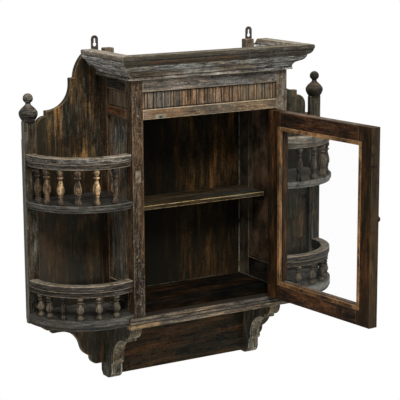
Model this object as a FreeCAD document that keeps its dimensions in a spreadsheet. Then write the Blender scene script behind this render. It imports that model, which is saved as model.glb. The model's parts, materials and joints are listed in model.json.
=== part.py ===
import FreeCAD, Part
import math
import operator
import os
import Sketcher
from types import SimpleNamespace

# Wall display cabinet: a glazed case between two scrolled wings that carry curved galleries.
# X runs to the right seen from the front, Y back to the wall at zero, Z up.
# Heights are counted from the top of the base board. Every piece is then lowered by
# hang_height, so the origin lies on the wall midway between the two hanging holes.

# Driving sizes in millimetres and degrees: name, number, meaning
SIZES = [
    # Case
    ("case_width", 420, "case over its posts"),
    ("case_depth", 171, "wall to the front of the posts"),
    ("post", 28.5, "front posts, square"),
    ("rear_post_depth", 50, "rear posts, front to back"),
    ("tongue_width", 23.5, "tongue on a rear post, side to side"),
    ("tongue_depth", 20, "tongue on a rear post, front to back"),
    ("tongue_gap", 18, "tongue off the wall"),
    ("tongue_rise", 57, "tongue above the case"),
    ("opening_height", 457, "door opening"),
    ("lower_rail", 23, "rail over the door, height"),
    ("frieze_height", 40, "fluted frieze, height"),
    ("top_rail", 33, "rail over the frieze, height"),
    ("foot_rail", 72, "lowest side rail, height"),
    ("panel", 10, "side and back panels, thickness"),
    ("top_board", 9, "board over the case, thickness"),
    ("floor_board", 24, "floor of the case, thickness"),
    ("floor_set_back", 25, "floor behind the front of the posts"),
    ("shelf_top", 247, "inside shelf, top above the base board"),
    ("shelf_board", 10, "inside shelf, thickness"),
    ("shelf_set_back", 51, "inside shelf behind the front of the posts"),
    ("shelf_play", 0.5, "inside shelf, room at each end"),
    ("cleat", 12, "shelf cleats, square"),
    ("back_boards", 4, "boards in the back panel, number"),
    ("back_groove", 2, "groove between two back boards, width"),
    ("back_groove_depth", 1.5, "groove between two back boards, depth"),
    # Fluted frieze
    ("frieze_set_back", 6, "frieze behind the face of its rails"),
    ("frieze_board", 14, "frieze, thickness"),
    ("flute_pairs", 16, "pairs of flutes on the front"),
    ("side_flute_pairs", 4, "pairs of flutes on each side"),
    ("flute_spacing", 7.4, "between the two flutes of a pair"),
    ("flute_mouth", 2.6, "flute at the face, width"),
    ("flute_floor", 1, "flute at its floor, width"),
    ("flute_depth", 2.4, "flute, depth"),
    # Base board
    ("base_board", 25, "base board, thickness"),
    ("base_front", 9, "base board in front of the posts"),
    ("base_side", 16, "base board beyond the posts at each side"),
    ("base_band", 7, "upper bands of the moulded edge, height"),
    ("base_step", 2, "each band behind the one below it"),
    ("base_flat", 0.2, "flat left of each step beside the rounded edge"),
    # Cornice
    ("cornice_lap", 4, "cornice below the top of the posts"),
    ("cornice_bead", 11, "bead at the foot, overhang"),
    ("cornice_bead_height", 6, "bead at the foot, height"),
    ("cornice_cove", 11, "cove over the bead, overhang"),
    ("cornice_cove_height", 13, "cove over the bead, height"),
    ("cornice_step", 2, "fillets between the mouldings, overhang"),
    ("cornice_step_height", 1, "fillets between the mouldings, height"),
    ("cornice_ovolo", 13, "lower ovolo, overhang"),
    ("cornice_ovolo_height", 15, "lower ovolo, height"),
    ("cornice_upper_ovolo", 9, "upper ovolo, overhang"),
    ("cornice_upper_height", 12, "upper ovolo, height"),
    ("cornice_nosing", 11, "nosing along the top, height"),
    ("cornice_ledge", 29, "flat top behind the nosing, width"),
    ("cornice_seat", 29, "upright back against the case, height"),
    ("cove_angle", 70, "cove over the bead, degrees of its arc"),
    ("ovolo_angle", 70, "lower ovolo, degrees of its arc"),
    ("upper_angle", 60, "upper ovolo, degrees of its arc"),
    ("nosing_angle", 70, "nosing along the top, degrees of its arc"),
    # Wings
    ("wing_board", 15, "wing board, thickness"),
    ("wing_reach", 202, "case side to the outer edge of the stile"),
    ("stile_width", 31, "wing stile, width"),
    ("stile_board", 14, "wing stile, thickness"),
    ("stile_head_drop", 141, "wing stile's top below the wing board's"),
    ("stile_drop", 17, "wing stile below the base board's top"),
    ("stile_lap", 25, "wing board behind the stile, width"),
    ("wing_rise", 43, "wing board above the case"),
    ("wing_crown", 41, "level top beside the case, width"),
    ("crown_run", 24, "round shoulder, width"),
    ("crown_drop", 52, "round shoulder, height"),
    ("crown_angle", 40, "round shoulder, degrees of its arc"),
    ("wing_step", 11, "step under the shoulder, width"),
    ("wing_step_drop", 13, "step under the shoulder, height"),
    ("wing_cove_drop", 58, "hollow under the step, height"),
    ("wing_nib", 8, "nib under the hollow, width"),
    ("wing_nib_drop", 12, "nib under the hollow, height"),
    ("wing_round", 26, "round beside the stile, radius"),
    ("wing_slit", 6, "slit between the round and the stile"),
    ("slit_depth", 23, "slit below the round"),
    ("wing_foot", 13, "wing board's foot below the base board's top"),
    ("foot_round", 34, "round under the stile, radius"),
    ("wing_ear", 20, "ear beside the round, width"),
    ("wing_ear_drop", 7, "ear beside the round, height"),
    ("arch_drop", 45, "arch in the lower edge, height"),
    ("arch_angle", 80, "arch in the lower edge, degrees of its arc"),
    ("ogee_run", 25, "ogee under the arch, width"),
    ("ogee_drop", 26, "ogee under the arch, height"),
    ("ogee_angle", 60, "ogee under the arch, degrees of its arc"),
    ("lobe_drop", 4, "upright over the lobe, height"),
    ("lobe", 18, "lobe beside the bracket, radius"),
    ("lobe_tail", 19, "level edge beside the bracket, width"),
    # Finials
    ("finial_sides", 16, "flats that a turned finial is drawn with"),
    ("finial_foot", 15.5, "finial at its foot, radius"),
    ("finial_onion", 22.5, "finial at its belly, radius"),
    ("finial_neck", 6, "finial at its neck, radius"),
    ("finial_ball", 12.5, "finial's ball, radius"),
    ("finial_belly_height", 17, "belly above the stile"),
    ("finial_neck_height", 38, "neck above the stile"),
    ("finial_ball_height", 51, "middle of the ball above the stile"),
    # Galleries
    ("rail_set_back", 5.6, "gallery rail behind the front of the case where they meet"),
    ("rail_inset", 2, "gallery rail inside the stile's edge"),
    ("rail_width", 22, "gallery rail, width"),
    ("rail_height", 27, "gallery rail, height"),
    ("rail_band", 12, "lower band of a rail, height"),
    ("rail_step", 3, "lower band behind the upper one"),
    ("gallery_lip", 2, "gallery shelf beyond its rail"),
    ("gallery_band", 6, "lower band of a gallery shelf, height"),
    ("gallery_step", 3, "lower band behind the upper one"),
    ("upper_shelf", 16, "upper gallery shelf, thickness"),
    ("upper_shelf_top", 273, "upper gallery shelf, top"),
    ("upper_rail_foot", 354, "upper gallery rail, underside"),
    ("lower_shelf", 24, "lower gallery shelf, thickness"),
    ("lower_shelf_top", 8, "lower gallery shelf, top"),
    ("lower_rail_foot", 61, "lower gallery rail, underside"),
    ("spindle_count", 6, "spindles in each gallery"),
    ("spindle_first_angle", 14, "first spindle, degrees round the gallery from the stile"),
    ("spindle_last_angle", 95, "last spindle, degrees round the gallery from the stile"),
    ("spindle_spread_ratio", 1.2, "power by which the spindles spread towards the case"),
    ("spindle_sides", 8, "flats that a turned spindle is drawn with"),
    ("spindle_foot", 8, "spindle's foot, radius"),
    ("spindle_waist", 5.5, "spindle over its foot, radius"),
    ("spindle_belly", 9, "spindle's belly, radius"),
    ("spindle_neck", 4.2, "spindle's neck, radius"),
    ("spindle_collar", 7.5, "spindle's collar, radius"),
    ("spindle_head", 8, "spindle's head, radius"),
    # Brackets and apron
    ("bracket_width", 30, "bracket, side to side"),
    ("bracket_depth", 150, "bracket under the base board, wall to front"),
    ("bracket_nose", 11, "upright nose of a bracket, height"),
    ("bracket_ovolo", 26, "round under the nose, radius"),
    ("bracket_fillet", 6, "fillet under the round, width"),
    ("bracket_fillet_drop", 8, "fillet under the round, height"),
    ("bracket_cove", 58, "hollow of a bracket, radius"),
    ("bracket_bead", 8, "bead under the hollow, width"),
    ("bracket_bead_drop", 14, "bead under the hollow, height"),
    ("bracket_bead_angle", 120, "bead under the hollow, degrees of its arc"),
    ("bracket_block", 18, "upright block under the bead, height"),
    ("bracket_toe", 21, "round toe of a bracket, radius"),
    ("bracket_heel", 8, "sloped heel of a bracket, depth"),
    ("bracket_heel_rise", 12, "sloped heel of a bracket, height"),
    ("apron_height", 151, "apron board, height"),
    ("apron_board", 12, "apron board, thickness"),
    ("apron_gap", 18, "apron board off the wall"),
    # Hanging plates
    ("hang_rise", 20, "hanging hole above the wing board"),
    ("hang_reach", 3, "hanging hole beyond the side of the case"),
    ("hang_hole", 4.5, "hanging hole, radius"),
    ("hang_slot", 4.6, "slot over the hole, width"),
    ("hang_slot_rise", 12, "slot over the hole, height of its end's centre"),
    ("plate_width", 18, "hanging plate, width"),
    ("plate_board", 2, "hanging plate between the wing board and the wall, thickness"),
    ("plate_drop", 52, "hanging plate below its hole"),
    # Door
    ("open_angle", 95, "door as it stands open"),
    ("door_gap", 1.5, "door to the hinge post, head and base board"),
    ("door_free_gap", 2.25, "door to the other post"),
    ("door_board", 24, "door, thickness"),
    ("door_frame", 44, "door stiles and rails, width"),
    ("rebate", 9, "rebate round the glass, width"),
    ("glass_lip", 13.5, "wood in front of the glass, thickness"),
    ("glass", 3, "glass, thickness"),
    ("glass_play", 1, "glass to the sides of its rebate"),
    ("bead_play", 0.2, "between the ends of two glazing beads"),
    ("tenon", 8, "tenons of the door rails, thickness"),
    ("tenon_length", 30, "tenons of the door rails, length"),
    ("tenon_shoulder", 6, "shoulder over and under a tenon"),
    ("knob_height", 245, "door knob above the base board"),
    ("knob_inset", 17, "door knob to the free edge"),
    ("knob_reach", 18, "door knob in front of the door"),
    ("knob_radius", 6.5, "door knob, radius"),
    ("knob_sides", 16, "flats that the turned knob is drawn with"),
    ("knob_shank", 3.5, "door knob at its shank, radius"),
    ("knob_head", 8, "door knob's head, depth"),
    # Hinges
    ("pin_proud", 3.5, "hinge pin in front of the posts"),
    ("pin_radius", 1.5, "hinge pin, radius"),
    ("pin_play", 0.05, "room round the pin in the door's knuckle"),
    ("knuckle", 3.2, "hinge knuckle, radius"),
    ("knuckle_middle", 14, "middle knuckle, height"),
    ("knuckle_play", 0.15, "between two knuckles"),
    ("leaf", 2, "hinge leaf, thickness"),
    ("leaf_gap", 0.1, "hinge leaf to the plane of the pin"),
    ("leaf_depth", 20.5, "hinge leaf in its recess, depth"),
    ("leaf_height", 40, "hinge leaf, height"),
    ("hinge_inset", 60, "middle of a hinge from the end of the opening"),
]

SIDES = (("left", -1), ("right", 1))
QUARTER = 90
NEAR = 0.01

# Angles above the widest point at which a turned round is drawn
BELLY_BELOW_ANGLES = (-30, -8)
BELLY_ABOVE_ANGLES = (8, 30, 55)
BALL_ANGLES = (-45, -15, 15, 45, 70, 85)
KNOB_ANGLES = (-50, -15, 15, 50, 80)

# Members of a spindle from its foot: share of the height, size that gives the radius
SPINDLE_MEMBERS = [
    (0, "spindle_foot"), (0.08, "spindle_foot"), (0.22, "spindle_waist"),
    (0.40, "spindle_belly"), (0.46, "spindle_belly"), (0.72, "spindle_neck"),
    (0.77, "spindle_collar"), (0.82, "spindle_neck"), (0.92, "spindle_head"), (1, "spindle_waist"),
]

OPERATIONS = {"+": operator.add, "-": operator.sub, "*": operator.mul, "/": operator.truediv}


class Size:
    """A number together with the formula on the sheet that gives it."""

    def __init__(self, value, text):
        self.value = value
        self.text = text

    def __add__(self, other):
        return combine(self, "+", other)

    def __radd__(self, other):
        return combine(other, "+", self)

    def __sub__(self, other):
        return combine(self, "-", other)

    def __rsub__(self, other):
        return combine(other, "-", self)

    def __mul__(self, other):
        return combine(self, "*", other)

    def __rmul__(self, other):
        return combine(other, "*", self)

    def __truediv__(self, other):
        return combine(self, "/", other)

    def __neg__(self):
        return Size(-self.value, f"-({self.text})")


def as_size(number):
    if isinstance(number, Size):
        return number
    return Size(float(number), repr(number))


def combine(left, sign, right):
    left = as_size(left)
    right = as_size(right)
    value = OPERATIONS[sign](left.value, right.value)
    return Size(value, f"({left.text} {sign} {right.text})")


def root(size):
    return Size(math.sqrt(size.value), f"sqrt({size.text})")


def arc_cosine(size):
    return Size(math.degrees(math.acos(size.value)), f"acos({size.text})")


def arc_sine(size):
    return Size(math.degrees(math.asin(size.value)), f"asin({size.text})")


ZERO = Size(0.0, "0")
HALF_TURN = Size(180.0, "180 deg")
FULL_TURN = Size(360.0, "360 deg")


# Document and sheet of sizes

doc = FreeCAD.newDocument("wall_display_cabinet")
nodes = []


def read_sizes(rows):
    sheet = doc.addObject("Spreadsheet::Sheet", "Sizes")
    for row, (alias, number, meaning) in enumerate(rows, start=1):
        sheet.set(f"A{row}", meaning)
        sheet.set(f"B{row}", str(number))
        sheet.setAlias(f"B{row}", alias)
    doc.recompute()
    named = SimpleNamespace()
    for alias, number, meaning in rows:
        setattr(named, alias, Size(float(sheet.get(alias)), f"Sizes.{alias}"))
    return named


s = read_sizes(SIZES)


# Helpers for bodies, sketches and features

def bind(feature, path, size):
    feature.setExpression(path, size.text)


def new_body(name, x=None, y=None, turn=None):
    """A body at its place: lowered to the hanging line, moved by x and y, turned about Z."""
    body = doc.addObject("PartDesign::Body", name)
    body.Label = name
    body.AllowCompound = True
    bind(body, "Placement.Base.z", -hang_height)
    if x is not None:
        bind(body, "Placement.Base.x", x)
        bind(body, "Placement.Base.y", y)
    if turn is not None:
        bind(body, "Placement.Rotation.Angle", turn)
    nodes.append(body)
    return body


def new_sketch(body, role, level=None):
    """A sketch on the body's XY, XZ or YZ plane, moved by level along the plane's normal."""
    plane = next(feature for feature in body.Origin.OriginFeatures if feature.Role == f"{role}_Plane")
    sketch = body.newObject("Sketcher::SketchObject", f"{body.Name}_sketch")
    sketch.AttachmentSupport = [(plane, "")]
    sketch.MapMode = "FlatFace"
    if level is not None:
        bind(sketch, "AttachmentOffset.Base.z", level)
    return sketch


def arc_between(start, end, turn):
    """The arc from start to end that turns by so many degrees, to the left where positive."""
    chord = end - start
    half = math.radians(turn) / 2
    radius = chord.Length / (2 * abs(math.sin(half)))
    left = FreeCAD.Vector(-chord.y, chord.x, 0)
    centre = (start + end) * 0.5 + left * (0.5 / math.tan(half))
    first, last = (start, end) if turn > 0 else (end, start)
    angles = [math.atan2(point.y - centre.y, point.x - centre.x) for point in (first, last)]
    return Part.ArcOfCircle(Part.Circle(centre, FreeCAD.Vector(0, 0, 1), radius), *angles)


def outline(sketch, corners):
    """Draws a closed outline. A corner is (x, y), or (x, y, turn) where the run to the next is an arc."""
    base = sketch.GeometryCount
    first_constraint = sketch.ConstraintCount
    count = len(corners)
    points = [FreeCAD.Vector(as_size(corner[0]).value, as_size(corner[1]).value, 0) for corner in corners]
    turns = [as_size(corner[2]) if len(corner) == 3 else None for corner in corners]
    shapes = []
    ends = []
    for i, turn in enumerate(turns):
        start = points[i]
        end = points[(i + 1) % count]
        if turn is None:
            shapes.append(Part.LineSegment(start, end))
            ends.append((1, 2))
        else:
            shapes.append(arc_between(start, end, turn.value))
            ends.append((1, 2) if turn.value > 0 else (2, 1))
    sketch.addGeometry(shapes, False)
    constraints = []
    formulas = []

    def dimension(kind, geometry, position, size):
        size = as_size(size)
        if size.text == ZERO.text:
            axis = -2 if kind == "DistanceX" else -1
            constraints.append(Sketcher.Constraint("PointOnObject", geometry, position, axis))
            return
        formulas.append((first_constraint + len(constraints), size))
        constraints.append(Sketcher.Constraint(kind, -1, 1, geometry, position, size.value))

    for i in range(count):
        after = (i + 1) % count
        constraints.append(Sketcher.Constraint("Coincident", base + i, ends[i][1],
                                               base + after, ends[after][0]))
        if turns[i] is not None:
            size = turns[i] if turns[i].value > 0 else -turns[i]
            formulas.append((first_constraint + len(constraints), size))
            constraints.append(Sketcher.Constraint("Angle", base + i, math.radians(size.value)))
    for i, corner in enumerate(corners):
        before = corners[i - 1]
        straight = i > 0 and turns[i - 1] is None
        for kind, square, value, last in (("DistanceX", "Vertical", corner[0], before[0]),
                                          ("DistanceY", "Horizontal", corner[1], before[1])):
            if straight and as_size(value).text == as_size(last).text:
                constraints.append(Sketcher.Constraint(square, base + i - 1))
            else:
                dimension(kind, base + i, ends[i][0], value)
    sketch.addConstraint(constraints)
    for index, size in formulas:
        bind(sketch, f"Constraints[{index}]", size)


def circle(sketch, x, y, radius):
    """Draws a circle about (x, y)."""
    base = sketch.GeometryCount
    first_constraint = sketch.ConstraintCount
    centre = FreeCAD.Vector(as_size(x).value, as_size(y).value, 0)
    sketch.addGeometry([Part.Circle(centre, FreeCAD.Vector(0, 0, 1), radius.value)], False)
    constraints = [Sketcher.Constraint("Radius", base, radius.value)]
    formulas = [radius]
    for kind, axis, size in (("DistanceX", -2, as_size(x)), ("DistanceY", -1, as_size(y))):
        if size.text == ZERO.text:
            constraints.append(Sketcher.Constraint("PointOnObject", base, 3, axis))
            formulas.append(None)
        else:
            constraints.append(Sketcher.Constraint(kind, -1, 1, base, 3, size.value))
            formulas.append(size)
    sketch.addConstraint(constraints)
    for index, size in enumerate(formulas, start=first_constraint):
        if size is not None:
            bind(sketch, f"Constraints[{index}]", size)


def rectangle(x, y):
    """The corners of a rectangle from x[0] to x[1] and y[0] to y[1]."""
    return [(x[0], y[0]), (x[1], y[0]), (x[1], y[1]), (x[0], y[1])]


def pad(body, sketch, length, against_normal=False):
    feature = body.newObject("PartDesign::Pad", f"{body.Name}_pad")
    feature.Profile = sketch
    feature.Reversed = against_normal
    bind(feature, "Length", length)
    return feature


def must_cut(body, feature):
    """Recomputes the document and makes sure that the feature has taken material away."""
    before = body.Tip.BaseFeature.Shape.Volume
    doc.recompute()
    if not feature.Shape.Volume < before - NEAR:
        raise RuntimeError(f"{feature.Name} cuts nothing")


def pocket(body, sketch, depth, along_normal=False):
    doc.recompute()
    feature = body.newObject("PartDesign::Pocket", f"{body.Name}_pocket")
    feature.Profile = sketch
    feature.Reversed = along_normal
    bind(feature, "Length", depth)
    must_cut(body, feature)
    return feature


def half_turned(body, sketch, backwards):
    """Turns a profile through half a turn about the upright axis of its sketch."""
    doc.recompute()
    feature = body.newObject("PartDesign::Revolution", f"{body.Name}_revolution")
    feature.Profile = sketch
    feature.ReferenceAxis = (sketch, ["V_Axis"])
    feature.Angle = HALF_TURN.value
    feature.Reversed = backwards


def row_of(body, feature, axis, span, count):
    """Repeats a feature count times along an axis of its own sketch."""
    sketch = feature.Profile[0]
    pattern = body.newObject("PartDesign::LinearPattern", f"{body.Name}_row")
    pattern.Originals = [feature]
    pattern.Direction = (sketch, [axis])
    bind(pattern, "Length", span)
    bind(pattern, "Occurrences", count)
    body.Tip = pattern


def board(name, x, y, z):
    """A plain board between two planes on each axis."""
    body = new_body(name)
    sketch = new_sketch(body, "XY", z[0])
    outline(sketch, rectangle(x, y))
    pad(body, sketch, z[1] - z[0])
    return body


def edges_where(shape, wanted):
    """The names of the edges whose middle passes the test."""
    return [f"Edge{i}" for i, edge in enumerate(shape.Edges, start=1) if wanted(edge.CenterOfMass)]


# Shared levels and planes

half_width = s.case_width / 2
post_inside = half_width - s.post
front = -s.case_depth
post_back = front + s.post
rear_post_front = -s.rear_post_depth
frieze_foot = s.opening_height + s.lower_rail
frieze_head = frieze_foot + s.frieze_height
case_top = frieze_head + s.top_rail
base_foot = -s.base_board
wing_top = case_top + s.wing_rise
hang_height = wing_top + s.hang_rise
hang_x = half_width + s.hang_reach
stile_top = wing_top - s.stile_head_drop
wing_back = -s.plate_board
wing_front = wing_back - s.wing_board
stile_front = wing_front - s.stile_board
stile_outside = half_width + s.wing_reach
stile_inside = stile_outside - s.stile_width


# Case

def case_posts():
    for word, side in SIDES:
        body = board(f"front_post_{word}", (side * post_inside, side * half_width), (front, post_back),
                     (ZERO, case_top))
        if word == "right":
            sketch = new_sketch(body, "YZ", post_inside)
            for level in hinge_levels():
                outline(sketch, rectangle((front, front + s.leaf_depth),
                                          (level - s.leaf_height / 2, level + s.leaf_height / 2)))
            pocket(body, sketch, leaf_recess(), along_normal=True)


def tongue(side):
    """The outline of the tongue that stands on a rear post."""
    return rectangle((side * post_inside, side * (post_inside + s.tongue_width)),
                     (-s.tongue_gap - s.tongue_depth, -s.tongue_gap))


def rear_posts():
    for word, side in SIDES:
        body = board(f"rear_post_{word}", (side * post_inside, side * half_width), (rear_post_front, ZERO),
                     (ZERO, case_top))
        sketch = new_sketch(body, "XY", case_top)
        outline(sketch, tongue(side))
        pad(body, sketch, s.tongue_rise)


def case_sides():
    panel_inside = post_inside + (s.post - s.panel) / 2
    run = (post_back, rear_post_front)
    for word, side in SIDES:
        width = (side * post_inside, side * half_width)
        board(f"side_foot_rail_{word}", width, run, (ZERO, s.foot_rail))
        board(f"side_lower_rail_{word}", width, run, (s.opening_height, frieze_foot))
        board(f"side_upper_rail_{word}", width, run, (frieze_head, case_top))
        board(f"side_panel_{word}", (side * panel_inside, side * (panel_inside + s.panel)), run,
              (s.foot_rail, s.opening_height))
        side_frieze(word, side, run)


def flute(middle, face, into):
    """One flute as (along, across) points: a narrow floor between two sloping sides."""
    floor = face + into * s.flute_depth
    return [(middle - s.flute_mouth / 2, face), (middle - s.flute_floor / 2, floor),
            (middle + s.flute_floor / 2, floor), (middle + s.flute_mouth / 2, face)]


def side_frieze(word, side, run):
    face = side * (half_width - s.frieze_set_back)
    body = board(f"side_frieze_{word}", (face - side * s.frieze_board, face), run,
                 (frieze_foot, frieze_head))
    pitch = (run[1] - run[0]) / s.side_flute_pairs
    sketch = new_sketch(body, "XY", frieze_foot)
    for shift in (-s.flute_spacing / 2, s.flute_spacing / 2):
        points = flute(run[0] + pitch / 2 + shift, face, -side)
        outline(sketch, [(across, along) for along, across in points])
    flutes = pocket(body, sketch, s.frieze_height, along_normal=True)
    row_of(body, flutes, "V_Axis", pitch * (s.side_flute_pairs - 1), s.side_flute_pairs)


def head():
    width = (-post_inside, post_inside)
    depth = (front, post_back)
    board("head_lower_rail", width, depth, (s.opening_height, frieze_foot))
    board("head_top_rail", width, depth, (frieze_head, case_top))
    face = front + s.frieze_set_back
    body = board("frieze_panel", width, (face, face + s.frieze_board), (frieze_foot, frieze_head))
    pitch = 2 * post_inside / s.flute_pairs
    sketch = new_sketch(body, "XY", frieze_foot)
    for shift in (-s.flute_spacing / 2, s.flute_spacing / 2):
        outline(sketch, flute(pitch / 2 - post_inside + shift, face, 1))
    flutes = pocket(body, sketch, s.frieze_height, along_normal=True)
    row_of(body, flutes, "H_Axis", pitch * (s.flute_pairs - 1), s.flute_pairs)


def case_boards():
    width = (-post_inside, post_inside)
    back = board("back_panel", width, (-s.panel, ZERO), (ZERO, case_top))
    pitch = 2 * post_inside / s.back_boards
    sketch = new_sketch(back, "XY")
    middle = pitch - post_inside
    outline(sketch, rectangle((middle - s.back_groove / 2, middle + s.back_groove / 2),
                              (-s.panel, s.back_groove_depth - s.panel)))
    groove = pocket(back, sketch, case_top, along_normal=True)
    grooves = s.back_boards - 1
    row_of(back, groove, "H_Axis", pitch * (grooves - 1), grooves)

    board("floor_board", width, (front + s.floor_set_back, -s.panel), (ZERO, s.floor_board))
    shelf_end = post_inside - s.shelf_play
    shelf_run = (front + s.shelf_set_back, -s.panel)
    shelf_foot = s.shelf_top - s.shelf_board
    board("interior_shelf", (-shelf_end, shelf_end), shelf_run, (shelf_foot, s.shelf_top))
    cleats = new_body("shelf_cleats")
    sketch = new_sketch(cleats, "XY", shelf_foot - s.cleat)
    for word, side in SIDES:
        outline(sketch, rectangle((side * (post_inside - s.cleat), side * post_inside), shelf_run))
    pad(cleats, sketch, s.cleat)

    top = new_body("top_board")
    sketch = new_sketch(top, "XY", case_top)
    outline(sketch, rectangle((-half_width, half_width), (front, ZERO)))
    for word, side in SIDES:
        outline(sketch, tongue(side))
    pad(top, sketch, s.top_board)


def base_board():
    """A board whose front and side edges step back in three rounded bands."""
    body = new_body("base_board")
    bands = [(base_foot, s.base_board - 2 * s.base_band), (-2 * s.base_band, s.base_band),
             (-s.base_band, s.base_band)]
    rims = []
    for number, (foot, height) in enumerate(bands):
        reach = half_width + s.base_side - number * s.base_step
        face = front - s.base_front + number * s.base_step
        sketch = new_sketch(body, "XY", foot)
        outline(sketch, [(-reach, face), (reach, face), (reach, wing_front), (half_width, wing_front),
                         (half_width, ZERO), (-half_width, ZERO), (-half_width, wing_front),
                         (-reach, wing_front)])
        last = pad(body, sketch, height)
        rims.append((reach.value, face.value, (foot + height).value))
    doc.recompute()

    def on_rim(point):
        for reach, face, top in rims:
            on_edge = abs(abs(point.x) - reach) < NEAR or abs(point.y - face) < NEAR
            if on_edge and abs(point.z - top) < NEAR:
                return True
        return False

    fillet = body.newObject("PartDesign::Fillet", "base_board_fillet")
    fillet.Base = (last, edges_where(last.Shape, on_rim))
    bind(fillet, "Radius", s.base_step - s.base_flat)


# Cornice

def cornice_profile():
    """The section as (overhang, height) points, from the foot of its back to the top."""
    d = s.cornice_bead
    z = case_top - s.cornice_lap
    points = [(ZERO, z), (d, z)]
    d = d - s.cornice_step
    z = z + s.cornice_bead_height
    points.append((d, z, -s.cove_angle))
    d = d + s.cornice_cove
    z = z + s.cornice_cove_height
    points.append((d, z))
    d = d + s.cornice_step
    z = z + s.cornice_step_height
    points.append((d, z, s.ovolo_angle))
    d = d + s.cornice_ovolo
    z = z + s.cornice_ovolo_height
    points.append((d, z))
    d = d + s.cornice_step
    z = z + s.cornice_step_height
    points.append((d, z, s.upper_angle))
    d = d + s.cornice_upper_ovolo
    z = z + s.cornice_upper_height
    points.append((d, z, s.nosing_angle))
    z = z + s.cornice_nosing
    points.append((d, z))
    points.append((d - s.cornice_ledge, z))
    points.append((ZERO, case_top - s.cornice_lap + s.cornice_seat))
    overhang = d + s.cornice_step
    return points, overhang


def cornice():
    """Three lengths of moulding, mitred at the two front corners of the case."""
    points, overhang = cornice_profile()
    tall = points[-2][1]
    lip = front - overhang

    body = new_body("cornice_front")
    sketch = new_sketch(body, "YZ", -(half_width + overhang))
    outline(sketch, [(front - point[0], point[1], *(-turn for turn in point[2:])) for point in points])
    pad(body, sketch, 2 * (half_width + overhang))
    mitre = new_sketch(body, "XY")
    for word, side in SIDES:
        end = side * (half_width + overhang)
        outline(mitre, [(side * half_width, front), (end, lip), (end, front)])
    pocket(body, mitre, tall, along_normal=True)

    for word, side in SIDES:
        body = new_body(f"cornice_{word}")
        sketch = new_sketch(body, "XZ", -lip)
        outline(sketch, [(side * (half_width + point[0]), point[1], *(side * turn for turn in point[2:]))
                         for point in points])
        pad(body, sketch, wing_front - lip, against_normal=True)
        mitre = new_sketch(body, "XY")
        end = side * (half_width + overhang)
        outline(mitre, [(side * half_width, front), (side * half_width, lip), (end, lip)])
        pocket(body, mitre, tall, along_normal=True)


# Wings

def wing_outline(side):
    """The scrolled board: down the upper edge to the stile, back along the lower edge."""
    points = []
    inner = stile_inside - half_width
    cove_run = inner - s.wing_slit - s.wing_crown - s.crown_run - s.wing_step - s.wing_nib - s.wing_round
    arch_run = inner - s.foot_round - s.wing_ear - s.ogee_run - s.lobe - s.lobe_tail

    x = half_width
    z = wing_top
    points.append((x, z))
    x = x + s.wing_crown
    points.append((x, z, -s.crown_angle))
    x = x + s.crown_run
    z = z - s.crown_drop
    points.append((x, z))
    x = x + s.wing_step
    points.append((x, z))
    z = z - s.wing_step_drop
    points.append((x, z, QUARTER))
    x = x + cove_run
    z = z - s.wing_cove_drop
    points.append((x, z))
    x = x + s.wing_nib
    points.append((x, z))
    z = z - s.wing_nib_drop
    points.append((x, z, -QUARTER))
    x = x + s.wing_round
    z = z - s.wing_round
    points.append((x, z))
    z = z - s.slit_depth
    points.append((x, z))

    x = stile_inside + s.stile_lap
    points.append((x, z))
    z = -s.wing_foot
    points.append((x, z))
    x = stile_inside
    points.append((x, z, -QUARTER))
    x = x - s.foot_round
    z = z - s.foot_round
    points.append((x, z))
    z = z - s.wing_ear_drop
    points.append((x, z))
    x = x - s.wing_ear
    points.append((x, z, s.arch_angle))
    x = x - arch_run
    z = z - s.arch_drop
    points.append((x, z, -s.ogee_angle))
    x = x - s.ogee_run
    z = z - s.ogee_drop
    points.append((x, z))
    z = z - s.lobe_drop
    points.append((x, z, -QUARTER))
    x = x - s.lobe
    z = z - s.lobe
    points.append((x, z))
    points.append((half_width, z))
    return [(side * point[0], point[1], *(side * turn for turn in point[2:])) for point in points]


def wings():
    for word, side in SIDES:
        body = new_body(f"wing_board_{word}")
        sketch = new_sketch(body, "XZ", -wing_back)
        outline(sketch, wing_outline(side))
        pad(body, sketch, s.wing_board)
        board(f"wing_stile_{word}", (side * stile_inside, side * stile_outside), (stile_front, wing_front),
              (-s.stile_drop, stile_top))
        finial(word, side)


def turned_solid(sections, sides):
    """A turned piece upright on Z through (height, radius) sections, drawn with flat sides."""
    count = round(sides.value)
    directions = []
    for number in range(count):
        angle = 2 * math.pi * (number + 0.5) / count
        directions.append(FreeCAD.Vector(math.cos(angle), math.sin(angle), 0))
    rings = []
    for level, radius in sections:
        middle = FreeCAD.Vector(0, 0, level.value)
        rings.append([middle + direction * radius.value for direction in directions])
    faces = [flat_face(rings[0][::-1]), flat_face(rings[-1])]
    for lower, upper in zip(rings, rings[1:]):
        for here in range(count):
            ahead = (here + 1) % count
            faces.append(flat_face([lower[here], lower[ahead], upper[ahead], upper[here]]))
    return Part.Solid(Part.Shell(faces))


def flat_face(points):
    return Part.Face(Part.makePolygon(points + points[:1]))


def new_turned(name, shape, x, y, z, rotation=None):
    """A turned piece of the document, set on its axis at (x, y, z)."""
    piece = doc.addObject("Part::Feature", name)
    piece.Label = name
    piece.Shape = shape
    place = FreeCAD.Vector(x.value, y.value, z.value)
    piece.Placement = FreeCAD.Placement(place, rotation or FreeCAD.Rotation())
    nodes.append(piece)


def dome(middle, radius, height, angles):
    """Sections of a round that is radius wide and height tall, at angles above its middle."""
    sections = []
    for angle in angles:
        turn = math.radians(angle)
        sections.append((middle + height * math.sin(turn), radius * math.cos(turn)))
    return sections


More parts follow.
